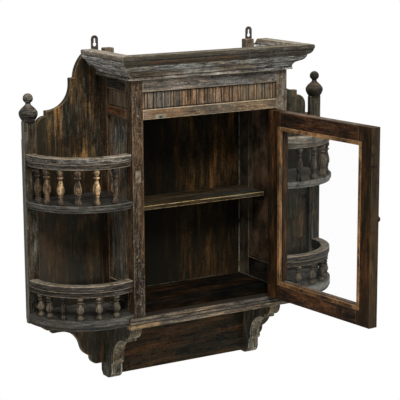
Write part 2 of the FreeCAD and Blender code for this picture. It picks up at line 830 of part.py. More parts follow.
def finial(word, side):
    """A turned onion and ball on the stile's top."""
    middle = (stile_inside + stile_outside) / 2
    belly = s.finial_belly_height
    neck = s.finial_neck_height
    ball = s.finial_ball_height
    sections = [(ZERO, s.finial_foot)]
    sections += dome(belly, s.finial_onion, belly, BELLY_BELOW_ANGLES)
    sections += dome(belly, s.finial_onion, neck - belly, BELLY_ABOVE_ANGLES)
    sections.append((neck, s.finial_neck))
    sections += dome(ball, s.finial_ball, s.finial_ball, BALL_ANGLES)
    new_turned(f"finial_{word}", turned_solid(sections, s.finial_sides), side * middle,
               (stile_front + wing_front) / 2, stile_top - hang_height)


# Galleries

# A rail springs square from the stile and bows round to meet the front post
rail_span = s.wing_reach - s.rail_inset
rail_bow = stile_front - front - s.rail_set_back
rail_radius = (rail_span * rail_span + rail_bow * rail_bow) / (2 * rail_span)
gallery_x = half_width + rail_span - rail_radius
trim = gallery_x - half_width


def gallery_shelf(name, side, foot, top, base_top):
    """A shelf bowed about the gallery's centre, with a lower band set back under its edge.

    Up to the base board's top the shelf stops at that board's edge, above it at the case.
    """
    body = new_body(name)
    radius = rail_radius + s.gallery_lip
    band_top = foot + s.gallery_band
    base_edge = half_width + s.base_side
    layers = [(foot, band_top, radius - s.gallery_step, half_width), (band_top, top, radius, half_width)]
    if base_top is not None:
        layers = [(foot, band_top, radius - s.gallery_step, base_edge),
                  (band_top, base_top, radius, base_edge), (base_top, top, radius, half_width)]
    for low, high, reach, case_side in layers:
        inset = gallery_x - case_side
        bow = root(reach * reach - inset * inset)
        sketch = new_sketch(body, "XY", low)
        outline(sketch, [(side * (gallery_x + reach), stile_front, -side * arc_cosine(-inset / reach)),
                         (side * case_side, stile_front - bow), (side * case_side, wing_front),
                         (side * stile_inside, wing_front), (side * stile_inside, stile_front)])
        pad(body, sketch, high - low)


def gallery_rail(name, side, foot):
    """A bowed rail with an upper band over a narrower lower one, cut flat against the post."""
    body = new_body(name, side * gallery_x, stile_front, HALF_TURN if side < 0 else None)
    inner = rail_radius - s.rail_width
    outer = rail_radius
    step = foot + s.rail_band
    top = foot + s.rail_height
    sketch = new_sketch(body, "XZ")
    outline(sketch, [(inner, foot), (outer - s.rail_step, foot), (outer - s.rail_step, step), (outer, step),
                     (outer, top), (inner, top)])
    half_turned(body, sketch, backwards=side > 0)
    cut = new_sketch(body, "XY", foot)
    outline(cut, rectangle((-outer * 2, -trim), (-outer * 2, outer * 2)))
    pocket(body, cut, s.rail_height, along_normal=True)


def spindle_sections(rise):
    """A vase spindle so tall; its members keep their shares of the height."""
    return [(rise * share, getattr(s, name)) for share, name in SPINDLE_MEMBERS]


def gallery_spindles(name, side, foot, top):
    """A ring of spindles under the middle of the rail, wider apart towards the case."""
    axis = rail_radius - s.rail_width / 2
    count = round(s.spindle_count.value)
    run = s.spindle_last_angle - s.spindle_first_angle
    spindle = turned_solid(spindle_sections(top - foot), s.spindle_sides)
    ring = []
    for number in range(count):
        along = (number / (count - 1)) ** s.spindle_spread_ratio.value
        angle = math.radians((s.spindle_first_angle + run * along).value)
        copy = spindle.copy()
        place = FreeCAD.Vector(side * math.cos(angle), -math.sin(angle), 0) * axis.value
        copy.translate(place)
        ring.append(copy)
    new_turned(name, Part.makeCompound(ring), side * gallery_x, stile_front, foot - hang_height)


def galleries():
    tiers = (("upper", s.upper_shelf_top, s.upper_shelf, s.upper_rail_foot, None),
             ("lower", s.lower_shelf_top, s.lower_shelf, s.lower_rail_foot, ZERO))
    for tier, shelf_top, thickness, rail_foot, base_top in tiers:
        for word, side in SIDES:
            gallery_shelf(f"{tier}_gallery_shelf_{word}", side, shelf_top - thickness, shelf_top, base_top)
            gallery_rail(f"{tier}_gallery_rail_{word}", side, rail_foot)
            gallery_spindles(f"{tier}_gallery_spindles_{word}", side, shelf_top, rail_foot)


# Brackets and apron

def bracket_outline():
    """The scrolled side of a bracket as (Y, Z) points, from the wall along the top and down the front."""
    y = -s.bracket_depth
    z = base_foot
    points = [(ZERO, z), (y, z)]
    z = z - s.bracket_nose
    points.append((y, z, QUARTER))
    y = y + s.bracket_ovolo
    z = z - s.bracket_ovolo
    points.append((y, z))
    z = z - s.bracket_fillet_drop
    points.append((y, z))
    y = y + s.bracket_fillet
    points.append((y, z, -QUARTER))
    y = y + s.bracket_cove
    z = z - s.bracket_cove
    points.append((y, z, s.bracket_bead_angle))
    y = y + s.bracket_bead
    z = z - s.bracket_bead_drop
    points.append((y, z))
    z = z - s.bracket_block
    points.append((y, z, QUARTER))
    y = y + s.bracket_toe
    z = z - s.bracket_toe
    points.append((y, z))
    points.append((-s.bracket_heel, z))
    points.append((ZERO, z + s.bracket_heel_rise))
    return points


def brackets():
    for word, side in SIDES:
        body = new_body(f"bracket_{word}")
        sketch = new_sketch(body, "YZ", side * half_width)
        outline(sketch, bracket_outline())
        pad(body, sketch, s.bracket_width, against_normal=side > 0)
    span = half_width - s.bracket_width
    board("apron_board", (-span, span), (-s.apron_gap - s.apron_board, -s.apron_gap),
          (base_foot - s.apron_height, base_foot))


# Hanging plates

def hanging_plates():
    """A plate with a keyhole on the back of each wing board, flush with the wall."""
    body = new_body("hanger_plates")
    sketch = new_sketch(body, "XZ")
    edge = s.plate_width / 2
    foot = hang_height - s.plate_drop
    slot = s.hang_slot / 2
    slot_foot = hang_height + root(s.hang_hole * s.hang_hole - slot * slot)
    slot_head = hang_height + s.hang_slot_rise
    around = FULL_TURN - 2 * arc_sine(slot / s.hang_hole)
    for word, side in SIDES:
        middle = side * hang_x
        outline(sketch, [(middle - edge, foot), (middle + edge, foot),
                         (middle + edge, slot_head, 2 * QUARTER), (middle - edge, slot_head)])
        outline(sketch, [(middle - slot, slot_foot, around), (middle + slot, slot_foot),
                         (middle + slot, slot_head, 2 * QUARTER), (middle - slot, slot_head)])
    pad(body, sketch, s.plate_board)


# Door, drawn closed about its hinge pin and set open

pin_x = post_inside - s.door_gap / 2
pin_y = front - s.pin_proud
door_edge = -s.door_gap / 2
door_end = pin_x * -1 - post_inside + s.door_free_gap
door_face = s.pin_proud
door_back = door_face + s.door_board
glass_face = door_face + s.glass_lip
bead_face = glass_face + s.glass
door_foot = s.door_gap
door_head = s.opening_height - s.door_gap
sight_left = door_end + s.door_frame
sight_right = door_edge - s.door_frame
sight_foot = door_foot + s.door_frame
sight_head = door_head - s.door_frame
tenon_face = door_face + (s.glass_lip - s.tenon) / 2


def hinge_levels():
    return s.hinge_inset, s.opening_height - s.hinge_inset


def leaf_recess():
    return s.leaf_gap + s.leaf - s.door_gap / 2


def door_body(name):
    return new_body(name, pin_x, pin_y, s.open_angle)


def door_board(name, x, y, z):
    """A board of the door between two planes on each axis."""
    body = door_body(name)
    sketch = new_sketch(body, "XY", z[0])
    outline(sketch, rectangle(x, y))
    pad(body, sketch, z[1] - z[0])
    return body


def cut_box(body, x, y, z):
    """Cuts a rectangular recess out of a board."""
    sketch = new_sketch(body, "XY", z[0])
    outline(sketch, rectangle(x, y))
    pocket(body, sketch, z[1] - z[0], along_normal=True)


def door_frame():
    rebate = (glass_face, door_back)
    rebate_run = (sight_foot - s.rebate, sight_head + s.rebate)
    tenons = ((door_foot + s.tenon_shoulder, sight_foot - s.rebate - s.tenon_shoulder),
              (sight_head + s.rebate + s.tenon_shoulder, door_head - s.tenon_shoulder))
    stiles = (("door_hinge_stile", door_edge, sight_right, -1),
              ("door_free_stile", door_end, sight_left, 1))
    for name, edge, sight, inward in stiles:
        body = door_board(name, (edge, sight), (door_face, door_back), (door_foot, door_head))
        cut_box(body, (sight - inward * s.rebate, sight), rebate, rebate_run)
        for tenon_run in tenons:
            mortise = (sight - inward * s.tenon_length, sight)
            cut_box(body, mortise, (tenon_face, tenon_face + s.tenon), tenon_run)
        if name == "door_hinge_stile":
            for level in hinge_levels():
                cut_box(body, (door_edge - leaf_recess(), door_edge), (door_face, door_face + s.leaf_depth),
                        (level - s.leaf_height / 2, level + s.leaf_height / 2))

    rails = (("door_bottom_rail", door_foot, sight_foot, (sight_foot - s.rebate, sight_foot), tenons[0]),
             ("door_top_rail", sight_head, door_head, (sight_head, sight_head + s.rebate), tenons[1]))
    for name, foot, top, rebate_run, tenon_run in rails:
        body = door_board(name, (sight_left, sight_right), (door_face, door_back), (foot, top))
        cut_box(body, (sight_left, sight_right), rebate, rebate_run)
        sketch = new_sketch(body, "XY", tenon_run[0])
        outline(sketch, rectangle((sight_left - s.tenon_length, sight_right + s.tenon_length),
                                  (tenon_face, tenon_face + s.tenon)))
        pad(body, sketch, tenon_run[1] - tenon_run[0])


def door_glazing():
    """The pane behind the lip of the frame, and four beads that hold it."""
    left = sight_left - s.rebate
    right = sight_right + s.rebate
    foot = sight_foot - s.rebate
    top = sight_head + s.rebate
    play = s.glass_play
    door_board("door_glass", (left + play, right - play), (glass_face, bead_face),
               (foot + play, top - play))
    beads = door_body("glazing_beads")
    sketch = new_sketch(beads, "XZ", -bead_face)
    outline(sketch, rectangle((left, sight_left), (foot, top)))
    outline(sketch, rectangle((sight_right, right), (foot, top)))
    between = (sight_left + s.bead_play, sight_right - s.bead_play)
    outline(sketch, rectangle(between, (foot, sight_foot)))
    outline(sketch, rectangle(between, (sight_head, top)))
    pad(beads, sketch, door_back - bead_face, against_normal=True)


def door_knob():
    """A turned knob that stands out from the face of the free stile."""
    neck = s.knob_reach - s.knob_head
    sections = [(ZERO, s.knob_shank), (neck, s.knob_shank)]
    sections += dome(neck + s.knob_head / 2, s.knob_radius, s.knob_head / 2, KNOB_ANGLES)
    across = door_end + s.knob_inset
    turn = math.radians(s.open_angle.value)
    x = pin_x + across * math.cos(turn) - door_face * math.sin(turn)
    y = pin_y + across * math.sin(turn) + door_face * math.cos(turn)
    outward = FreeCAD.Rotation(FreeCAD.Vector(0, 0, 1), FreeCAD.Vector(math.sin(turn), -math.cos(turn), 0))
    knob = turned_solid(sections, s.knob_sides)
    new_turned("door_knob", knob, x, y, s.knob_height - hang_height, outward)


def hinge_leaf(body, level, side, runs, bore):
    """One leaf: a plate beside the pin's plane, and knuckles round the pin over the runs of height."""
    leaf_x = (side * s.leaf_gap, side * (s.leaf_gap + s.leaf))
    sketch = new_sketch(body, "XY", level - s.leaf_height / 2)
    outline(sketch, rectangle(leaf_x, (door_face, door_face + s.leaf_depth)))
    pad(body, sketch, s.leaf_height)
    for low, high in runs:
        tongue = new_sketch(body, "XY", low)
        outline(tongue, rectangle(leaf_x, (s.pin_radius + s.leaf_gap, door_face)))
        pad(body, tongue, high - low)
        barrel = new_sketch(body, "XY", low)
        circle(barrel, ZERO, ZERO, s.knuckle)
        pad(body, barrel, high - low)
        hole = new_sketch(body, "XY", low)
        circle(hole, ZERO, ZERO, bore)
        pocket(body, hole, high - low, along_normal=True)


def hinges():
    """Two butt hinges: the pin is fast in the outer knuckles, and the door's knuckle turns on it."""
    case_leaves = new_body("case_hinge_leaves", pin_x, pin_y)
    door_leaves = door_body("door_hinge_leaves")
    pins = new_body("hinge_pins", pin_x, pin_y)
    middle = s.knuckle_middle / 2
    for level in hinge_levels():
        low = level - s.leaf_height / 2
        high = level + s.leaf_height / 2
        hinge_leaf(case_leaves, level, 1, ((low, level - middle), (level + middle, high)), s.pin_radius)
        turning = ((level - middle + s.knuckle_play, level + middle - s.knuckle_play),)
        hinge_leaf(door_leaves, level, -1, turning, s.pin_radius + s.pin_play)
        sketch = new_sketch(pins, "XY", low)
        circle(sketch, ZERO, ZERO, s.pin_radius)
        pad(pins, sketch, s.leaf_height)


# Build, check and write

def check():
    """Stops if any object of the document has failed or any sub-part has no sound shape."""
    doc.recompute()
    failed = [item.Name for item in doc.Objects if "Invalid" in item.State or "Error" in item.State]
    unsound = [body.Label for body in nodes if body.Shape.isNull() or not body.Shape.isValid()]
    if failed or unsound:
        raise RuntimeError(f"failed: {failed}, unsound: {unsound}")


def write():
    os.makedirs("parts", exist_ok=True)
    for body in nodes:
        body.Shape.exportStep(f"parts/{body.Label}.step")


for build in (case_posts, rear_posts, case_sides, head, case_boards, base_board, cornice, wings, galleries,
              brackets, hanging_plates, door_frame, door_glazing, door_knob, hinges):
    build()
check()
write()
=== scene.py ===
import json
import math

import bmesh
import bpy
from mathutils import Matrix, Vector


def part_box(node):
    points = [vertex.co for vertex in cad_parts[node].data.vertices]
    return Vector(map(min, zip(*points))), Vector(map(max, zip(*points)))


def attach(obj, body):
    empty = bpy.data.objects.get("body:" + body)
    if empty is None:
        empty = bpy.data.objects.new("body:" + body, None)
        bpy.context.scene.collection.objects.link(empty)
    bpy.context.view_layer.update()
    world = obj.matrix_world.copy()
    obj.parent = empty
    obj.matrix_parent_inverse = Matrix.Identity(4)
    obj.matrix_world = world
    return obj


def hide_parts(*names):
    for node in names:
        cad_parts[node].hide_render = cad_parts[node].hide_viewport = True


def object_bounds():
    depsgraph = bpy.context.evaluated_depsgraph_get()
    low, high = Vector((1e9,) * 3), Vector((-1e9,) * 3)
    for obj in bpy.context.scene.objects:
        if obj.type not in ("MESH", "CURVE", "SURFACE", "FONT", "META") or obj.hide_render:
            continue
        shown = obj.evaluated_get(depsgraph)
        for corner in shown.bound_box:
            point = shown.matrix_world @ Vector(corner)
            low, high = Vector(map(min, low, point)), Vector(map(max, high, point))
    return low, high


# The looks of the wall display cabinet: worn wood, metal and glass on the CAD nodes, turned pieces, nails and screws.
# Places are in metres in the row's frame: +X to the right seen from the front, the front towards -Y, the wall at y = 0.

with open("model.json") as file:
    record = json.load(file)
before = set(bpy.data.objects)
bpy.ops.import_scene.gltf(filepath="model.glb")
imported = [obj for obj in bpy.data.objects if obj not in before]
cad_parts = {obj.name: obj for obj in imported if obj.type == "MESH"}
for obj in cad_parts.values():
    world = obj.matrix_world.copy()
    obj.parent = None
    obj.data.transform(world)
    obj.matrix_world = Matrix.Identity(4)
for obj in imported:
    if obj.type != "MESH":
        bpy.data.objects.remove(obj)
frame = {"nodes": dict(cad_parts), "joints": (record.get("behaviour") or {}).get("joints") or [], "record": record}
cad_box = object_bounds()
nodes = frame["nodes"]
MM = 0.001
# Corners of a mesh that are this close are one
WELD = 0.01 * MM


# Node trees

class Tree:
    """Short ways to add nodes to a material or a world and to join them."""

    def __init__(self, owner):
        owner.use_nodes = True
        self.tree = owner.node_tree
        self.tree.nodes.clear()

    def node(self, kind, **settings):
        made = self.tree.nodes.new(f"ShaderNode{kind}")
        for name, value in settings.items():
            setattr(made, name, value)
        return made

    def put(self, socket, value):
        """Links a socket to another node's output, or sets its number or colour."""
        if isinstance(value, bpy.types.NodeSocket):
            self.tree.links.new(value, socket)
        else:
            socket.default_value = value

    def math(self, operation, first, second=0.0):
        made = self.node("Math", operation=operation)
        self.put(made.inputs[0], first)
        self.put(made.inputs[1], second)
        return made.outputs[0]

    def times(self, *values):
        result = values[0]
        for value in values[1:]:
            result = self.math("MULTIPLY", result, value)
        return result

    def spread(self, value, low, high, to_low=0.0, to_high=1.0):
        """Goes smoothly from to_low to to_high while the value goes from low to high."""
        made = self.node("MapRange", interpolation_type="SMOOTHSTEP")
        self.put(made.inputs["Value"], value)
        made.inputs["From Min"].default_value = low
        made.inputs["From Max"].default_value = high
        made.inputs["To Min"].default_value = to_low
        made.inputs["To Max"].default_value = to_high
        return made.outputs["Result"]

    def mix(self, share, first, second, blend="MIX"):
        made = self.node("Mix", data_type="RGBA", blend_type=blend)
        self.put(made.inputs["Factor"], share)
        self.put(made.inputs["A"], first)
        self.put(made.inputs["B"], second)
        return [out for out in made.outputs if out.type == "RGBA"][0]

    def ramp(self, value, stops):
        made = self.node("ValToRGB")
        ramp = made.color_ramp
        ramp.elements[0].position = stops[0][0]
        ramp.elements[0].color = stops[0][1]
        ramp.elements[1].position = stops[-1][0]
        ramp.elements[1].color = stops[-1][1]
        for position, colour in stops[1:-1]:
            ramp.elements.new(position).color = colour
        self.put(made.inputs["Fac"], value)
        return made.outputs["Color"]

    def noise(self, vector, scale, detail, roughness=0.6, distortion=0.0):
        made = self.node("TexNoise")
        self.put(made.inputs["Vector"], vector)
        made.inputs["Scale"].default_value = scale
        made.inputs["Detail"].default_value = detail
        made.inputs["Roughness"].default_value = roughness
        made.inputs["Distortion"].default_value = distortion
        return made.outputs["Fac"]

    def mapping(self, vector, location, scale):
        made = self.node("Mapping")
        self.put(made.inputs["Vector"], vector)
        made.inputs["Location"].default_value = location
        made.inputs["Scale"].default_value = scale
        return made.outputs["Vector"]

    def bump(self, height, strength, distance):
        made = self.node("Bump")
        made.inputs["Strength"].default_value = strength
        made.inputs["Distance"].default_value = distance
        self.put(made.inputs["Height"], height)
        return made.outputs["Normal"]

    def mix_shaders(self, share, first, second):
        made = self.node("MixShader")
        self.put(made.inputs[0], share)
        self.put(made.inputs[1], first.outputs[0])
        self.put(made.inputs[2], second.outputs[0])
        return made

    def finish(self, shader, output="OutputMaterial"):
        self.put(self.node(output).inputs["Surface"], shader.outputs[0])


def rgb(red, green, blue):
    """A colour from its screen values out of 255."""
    def linear(value):
        value = value / 255
        return value / 12.92 if value <= 0.04045 else ((value + 0.055) / 1.055) ** 2.4
    return (linear(red), linear(green), linear(blue), 1.0)


BLACK = rgb(17, 15, 12)
SOOT = rgb(36, 33, 28)
ASH = rgb(72, 68, 61)
GREY = rgb(116, 112, 103)
PALE = rgb(198, 192, 180)
DEEP_BROWN = rgb(48, 34, 22)
BROWN = rgb(84, 60, 38)
TAN = rgb(172, 142, 104)
CRACK = rgb(12, 10, 8)
PALE_LINE = rgb(220, 215, 200)

# The grain is drawn out along the wood. Stains run on less far.
GRAIN_STRETCH = 0.075
STAIN_STRETCH = 0.26
ALONG = {
    "X": (GRAIN_STRETCH, 1, 1), "Y": (1, GRAIN_STRETCH, 1), "Z": (1, 1, GRAIN_STRETCH),
    "XY": (GRAIN_STRETCH, GRAIN_STRETCH, 1), "YZ": (1, GRAIN_STRETCH, GRAIN_STRETCH),
}
LESS_ALONG = {key: tuple(1 if share == 1 else STAIN_STRETCH / GRAIN_STRETCH for share in shares)
              for key, shares in ALONG.items()}

# How fine the noises of the wood are, and how much finer than its bands the stripes and the cracks are
HAZE_SCALE, BLOTCH_SCALE, MOTTLE_SCALE, PATCH_SCALE = 17, 20, 46, 64
GRIT_SCALE, CHIP_SCALE, GRAIN_SCALE, FINE_SCALE = 250, 260, 420, 620
STRIPE_SHARE, CRACK_SHARE = 2.6, 1.3
# Where the colours of a ramp start in a noise's range, and how much of it they take up
RAMP_START, RAMP_SPAN = 0.36, 0.28
# The space inside the case, whose faces take a painted shade, and how much of it the worn edges there take.
# They take less of it and stay paler, as painted highlights.
INSIDE = dict(x=(-0.196, 0.196), y=(-0.1695, 0.01), z=(-0.62, -0.155), soft=0.001)
INSIDE_EDGE_SHARE = 0.6
# How far a patch of colour fades out at its borders, where it doesn't say so itself
PATCH_SOFT = 0.01


def box_mask(t, axes, patch):
    """One inside a box with soft edges, nothing outside it. The box leaves out the axes it runs on along."""
    shares = []
    for axis in "xyz":
        if axis in patch:
            low, high = patch[axis]
            soft = patch.get(f"soft_{axis}", patch.get("soft", PATCH_SOFT))
            shares.append(t.spread(axes[axis.upper()], low - soft, low + soft))
            shares.append(t.spread(axes[axis.upper()], high - soft, high + soft, 1.0, 0.0))
    return t.times(*shares)


def even_stops(colours):
    """Colours spread evenly over the middle of a noise's range."""
    last = len(colours) - 1
    return [(RAMP_START + RAMP_SPAN * i / last, colour) for i, colour in enumerate(colours)]


def wood(name, *looks, **more):
    """The finish of a piece's faces and of its rounded edges, which are worn."""
    return old_wood(name, *looks, **more), old_wood(f"{name}_edge", *looks, worn_edge=True, **more)


def old_wood(name, along, under, over, cover=0.5, tone=(1, 1, 1), worn=TAN, wear=0.7, grey=0.3, top=0.0, specks=0.0,
             band_scale=80, seed=0.0, rough=0.6, shine=0.06, patches=(), hidden=0.0, inner=BLACK, cloud=0.0,
             stain=1.0, crack=0.75, worn_edge=False):
    """Old stained wood: bare streaks under a broken dark coat, grey scratches, worn through on top and at edges.

    under and over are the colours of the bare wood and of the coat, cover is the share of the coat that is
    left, and tone the gain on red, green and blue. worn is the colour of worn places, wear how far they show
    at edges and top how far on top. grey, specks and crack say how strong scratches, pale chips and fine
    cracks are, stain how strong the long stains are, and cloud how far dark stains lie across the grain.
    hidden is how far the faces inside the case take a painted shade of the colour inner.
    A patch has a box, a colour and a share, and breaks up with the wood unless it is even.
    """
    material = bpy.data.materials.new(name)
    t = Tree(material)
    place = t.node("TexCoord").outputs["Object"]
    shifted = t.mapping(place, (seed, seed * 0.7, seed * 1.3), (1, 1, 1))
    grained = t.mapping(place, (seed, seed * 1.7, seed * 0.6), ALONG[along])
    axes = t.node("SeparateXYZ")
    t.put(axes.inputs[0], place)
    axes = axes.outputs

    streak = t.noise(grained, band_scale, 6, 0.62, 0.35)
    stripe = t.noise(grained, band_scale * STRIPE_SHARE, 5, 0.66, 0.2)
    grain = t.noise(grained, GRAIN_SCALE, 4, 0.72)
    blotch = t.noise(t.mapping(grained, (3, 5, 7), LESS_ALONG[along]), BLOTCH_SCALE, 6, 0.66)
    mottle = t.noise(t.mapping(grained, (5, 2, 4), LESS_ALONG[along]), MOTTLE_SCALE, 7, 0.7)
    patchy = t.noise(shifted, PATCH_SCALE, 5, 0.66)
    haze = t.noise(shifted, HAZE_SCALE, 7, 0.68)
    grit = t.noise(shifted, GRIT_SCALE, 4, 0.75)
    fine = t.noise(shifted, FINE_SCALE, 3, 0.7)

    # The coat over the bare wood, with grain, stains and grit in both
    bare = t.ramp(stripe, even_stops(under))
    coat = t.ramp(grain, even_stops(over))
    lie = t.math("ADD", t.times(streak, 0.45), t.times(blotch, 0.55))
    middle = 0.5 - 0.24 * (cover - 0.5)
    colour = t.mix(t.spread(lie, middle - 0.1, middle + 0.1), bare, coat)
    colour = t.mix(1.0, colour, t.spread(grain, 0.36, 0.64, 0.8, 1.16), "MULTIPLY")
    colour = t.mix(1.0, colour, t.spread(mottle, 0.33, 0.67, 1 - 0.55 * stain, 1 + 0.5 * stain), "MULTIPLY")
    colour = t.mix(1.0, colour, t.spread(grit, 0.38, 0.62, 0.7, 1.32), "MULTIPLY")
    if cloud:
        colour = t.mix(t.times(t.spread(haze, 0.45, 0.58), cloud), colour, BLACK)

    # Cracks and scratches along the grain
    split = t.noise(grained, band_scale * CRACK_SHARE, 3, 0.6, 0.2)
    off_middle = t.math("ABSOLUTE", t.math("SUBTRACT", split, 0.5))
    cracks = t.times(t.spread(off_middle, 0.008, 0.028, 1.0, 0.0), t.spread(patchy, 0.40, 0.56), crack)
    colour = t.mix(cracks, colour, CRACK)
    scratches = t.times(t.spread(stripe, 0.56, 0.66), t.spread(patchy, 0.40, 0.60), grey)
    colour = t.mix(scratches, colour, GREY)

    for patch in patches:
        share = t.times(box_mask(t, axes, patch), patch["share"])
        if not patch.get("even"):
            share = t.times(share, t.spread(patchy, 0.30, 0.56), t.spread(stripe, 0.34, 0.58, 0.25, 1.0))
        colour = t.mix(share, colour, patch["colour"])

    # Wear, chips and the painted shade inside the case
    if worn_edge:
        colour = t.mix(t.spread(patchy, 0.34, 0.56, 0.15 * wear, wear), colour, worn)
    elif top:
        tilt = t.node("SeparateXYZ")
        t.put(tilt.inputs[0], t.node("NewGeometry").outputs["Normal"])
        level = t.times(t.spread(tilt.outputs["Z"], 0.55, 0.95), t.spread(patchy, 0.34, 0.62), top)
        colour = t.mix(level, colour, worn)
    if specks:
        chip = t.noise(shifted, CHIP_SCALE, 2, 0.5)
        chips = t.times(t.spread(chip, 0.62, 0.67), t.spread(blotch, 0.42, 0.58), specks)
        colour = t.mix(chips, colour, PALE)
    # Painted shade on the faces inside the case, lighter on the worn edges
    if hidden:
        inside = box_mask(t, axes, INSIDE)
        depth = hidden * INSIDE_EDGE_SHARE if worn_edge else hidden
        uneven = t.times(t.spread(haze, 0.38, 0.62, 0.2, 2.1), t.spread(mottle, 0.34, 0.66, 0.6, 1.4))
        shade = t.mix(1.0, inner, uneven, "MULTIPLY")
        colour = t.mix(t.times(inside, depth), colour, shade)
    colour = t.mix(1.0, colour, (*tone, 1.0), "MULTIPLY")

    normal = t.bump(t.math("ADD", t.times(grain, 0.65), t.times(fine, 0.35)), 0.55, 0.9 * MM)
    shader = t.node("BsdfPrincipled")
    t.put(shader.inputs["Base Color"], colour)
    t.put(shader.inputs["Roughness"], t.spread(streak, 0.3, 0.7, rough + 0.12, rough - 0.1))
    t.put(shader.inputs["Normal"], normal)
    shader.inputs["Specular IOR Level"].default_value = shine
    t.finish(shader)
    return material


def metal(name, colour, rust, rough):
    """Dull metal with a blotched, pitted surface."""
    material = bpy.data.materials.new(name)
    t = Tree(material)
    place = t.node("TexCoord").outputs["Object"]
    blotch = t.noise(place, 160, 5, 0.65)
    pits = t.noise(place, 900, 3, 0.6)
    shader = t.node("BsdfPrincipled")
    t.put(shader.inputs["Base Color"], t.mix(t.spread(blotch, 0.42, 0.66), colour, rust))
    t.put(shader.inputs["Roughness"], t.spread(blotch, 0.3, 0.7, rough - 0.1, rough + 0.2))
    shader.inputs["Metallic"].default_value = 0.85
    t.put(shader.inputs["Normal"], t.bump(pits, 0.3, 0.3 * MM))
    t.finish(shader)
    return material


def clear_glass(name):
    """A thin old pane that light goes straight through, with a film of dust and a slow ripple."""
    material = bpy.data.materials.new(name)
    t = Tree(material)
    place = t.node("TexCoord").outputs["Object"]
    ripple = t.bump(t.noise(place, 9, 2, 0.4), 0.04, 1.0 * MM)
    film = t.noise(place, 30, 5, 0.65)
    shader = t.node("BsdfPrincipled")
    t.put(shader.inputs["Base Color"], t.mix(film, rgb(118, 126, 124), rgb(172, 174, 170)))
    shader.inputs["Roughness"].default_value = 0.04
    shader.inputs["Alpha"].default_value = 0.015
    t.put(shader.inputs["Normal"], ripple)
    t.finish(shader)
    return material


# Materials of the nodes

# The border of a patch that ends at the corner of a board
CRISP = 0.3 * MM


def dirt_and_shade_lines(*levels):
    """Dark lines of dirt and painted shade at heights where a moulding has grooves."""
    return [dict(z=(level - 1.2 * MM, level + 1.2 * MM), soft=0.8 * MM, colour=BLACK, share=0.85, even=True)
            for level in levels]


def dark_top(*heights, share):
    """A darkened upper face, with a height just under it and one over it."""
    return dict(z=heights, soft=CRISP, colour=BLACK, share=share, even=True)


COAT = (BLACK, SOOT, rgb(52, 48, 42))
PATINA = (rgb(26, 25, 24), rgb(84, 83, 80), rgb(138, 137, 132))
# Ranges across: the two wings, and the inside corner at the right
LEFT, RIGHT = (-0.5, -0.2), (0.2, 0.5)
CORNER = (0.1785, 0.2)
# Ranges in depth: the front faces of the wing boards and of the back
WING_FACE, BACK_FACE = (-0.05, -0.0165), (-0.05, -0.0095)
# Heights: the upper face of the floor, and the grooves in the cornice and the spindles
FLOOR_TOP = (-0.6, -0.58)
CORNICE_GROOVES = (-0.0605, -0.0475, -0.0318, -0.0195)
UPPER_SPINDLE_GROOVES = (-0.3208, -0.2856, -0.2772)
LOWER_SPINDLE_GROOVES = (-0.594, -0.57, -0.565)
# Places across: both sides of both brackets
BRACKET_SIDES = (-0.21, -0.18, 0.18, 0.21)

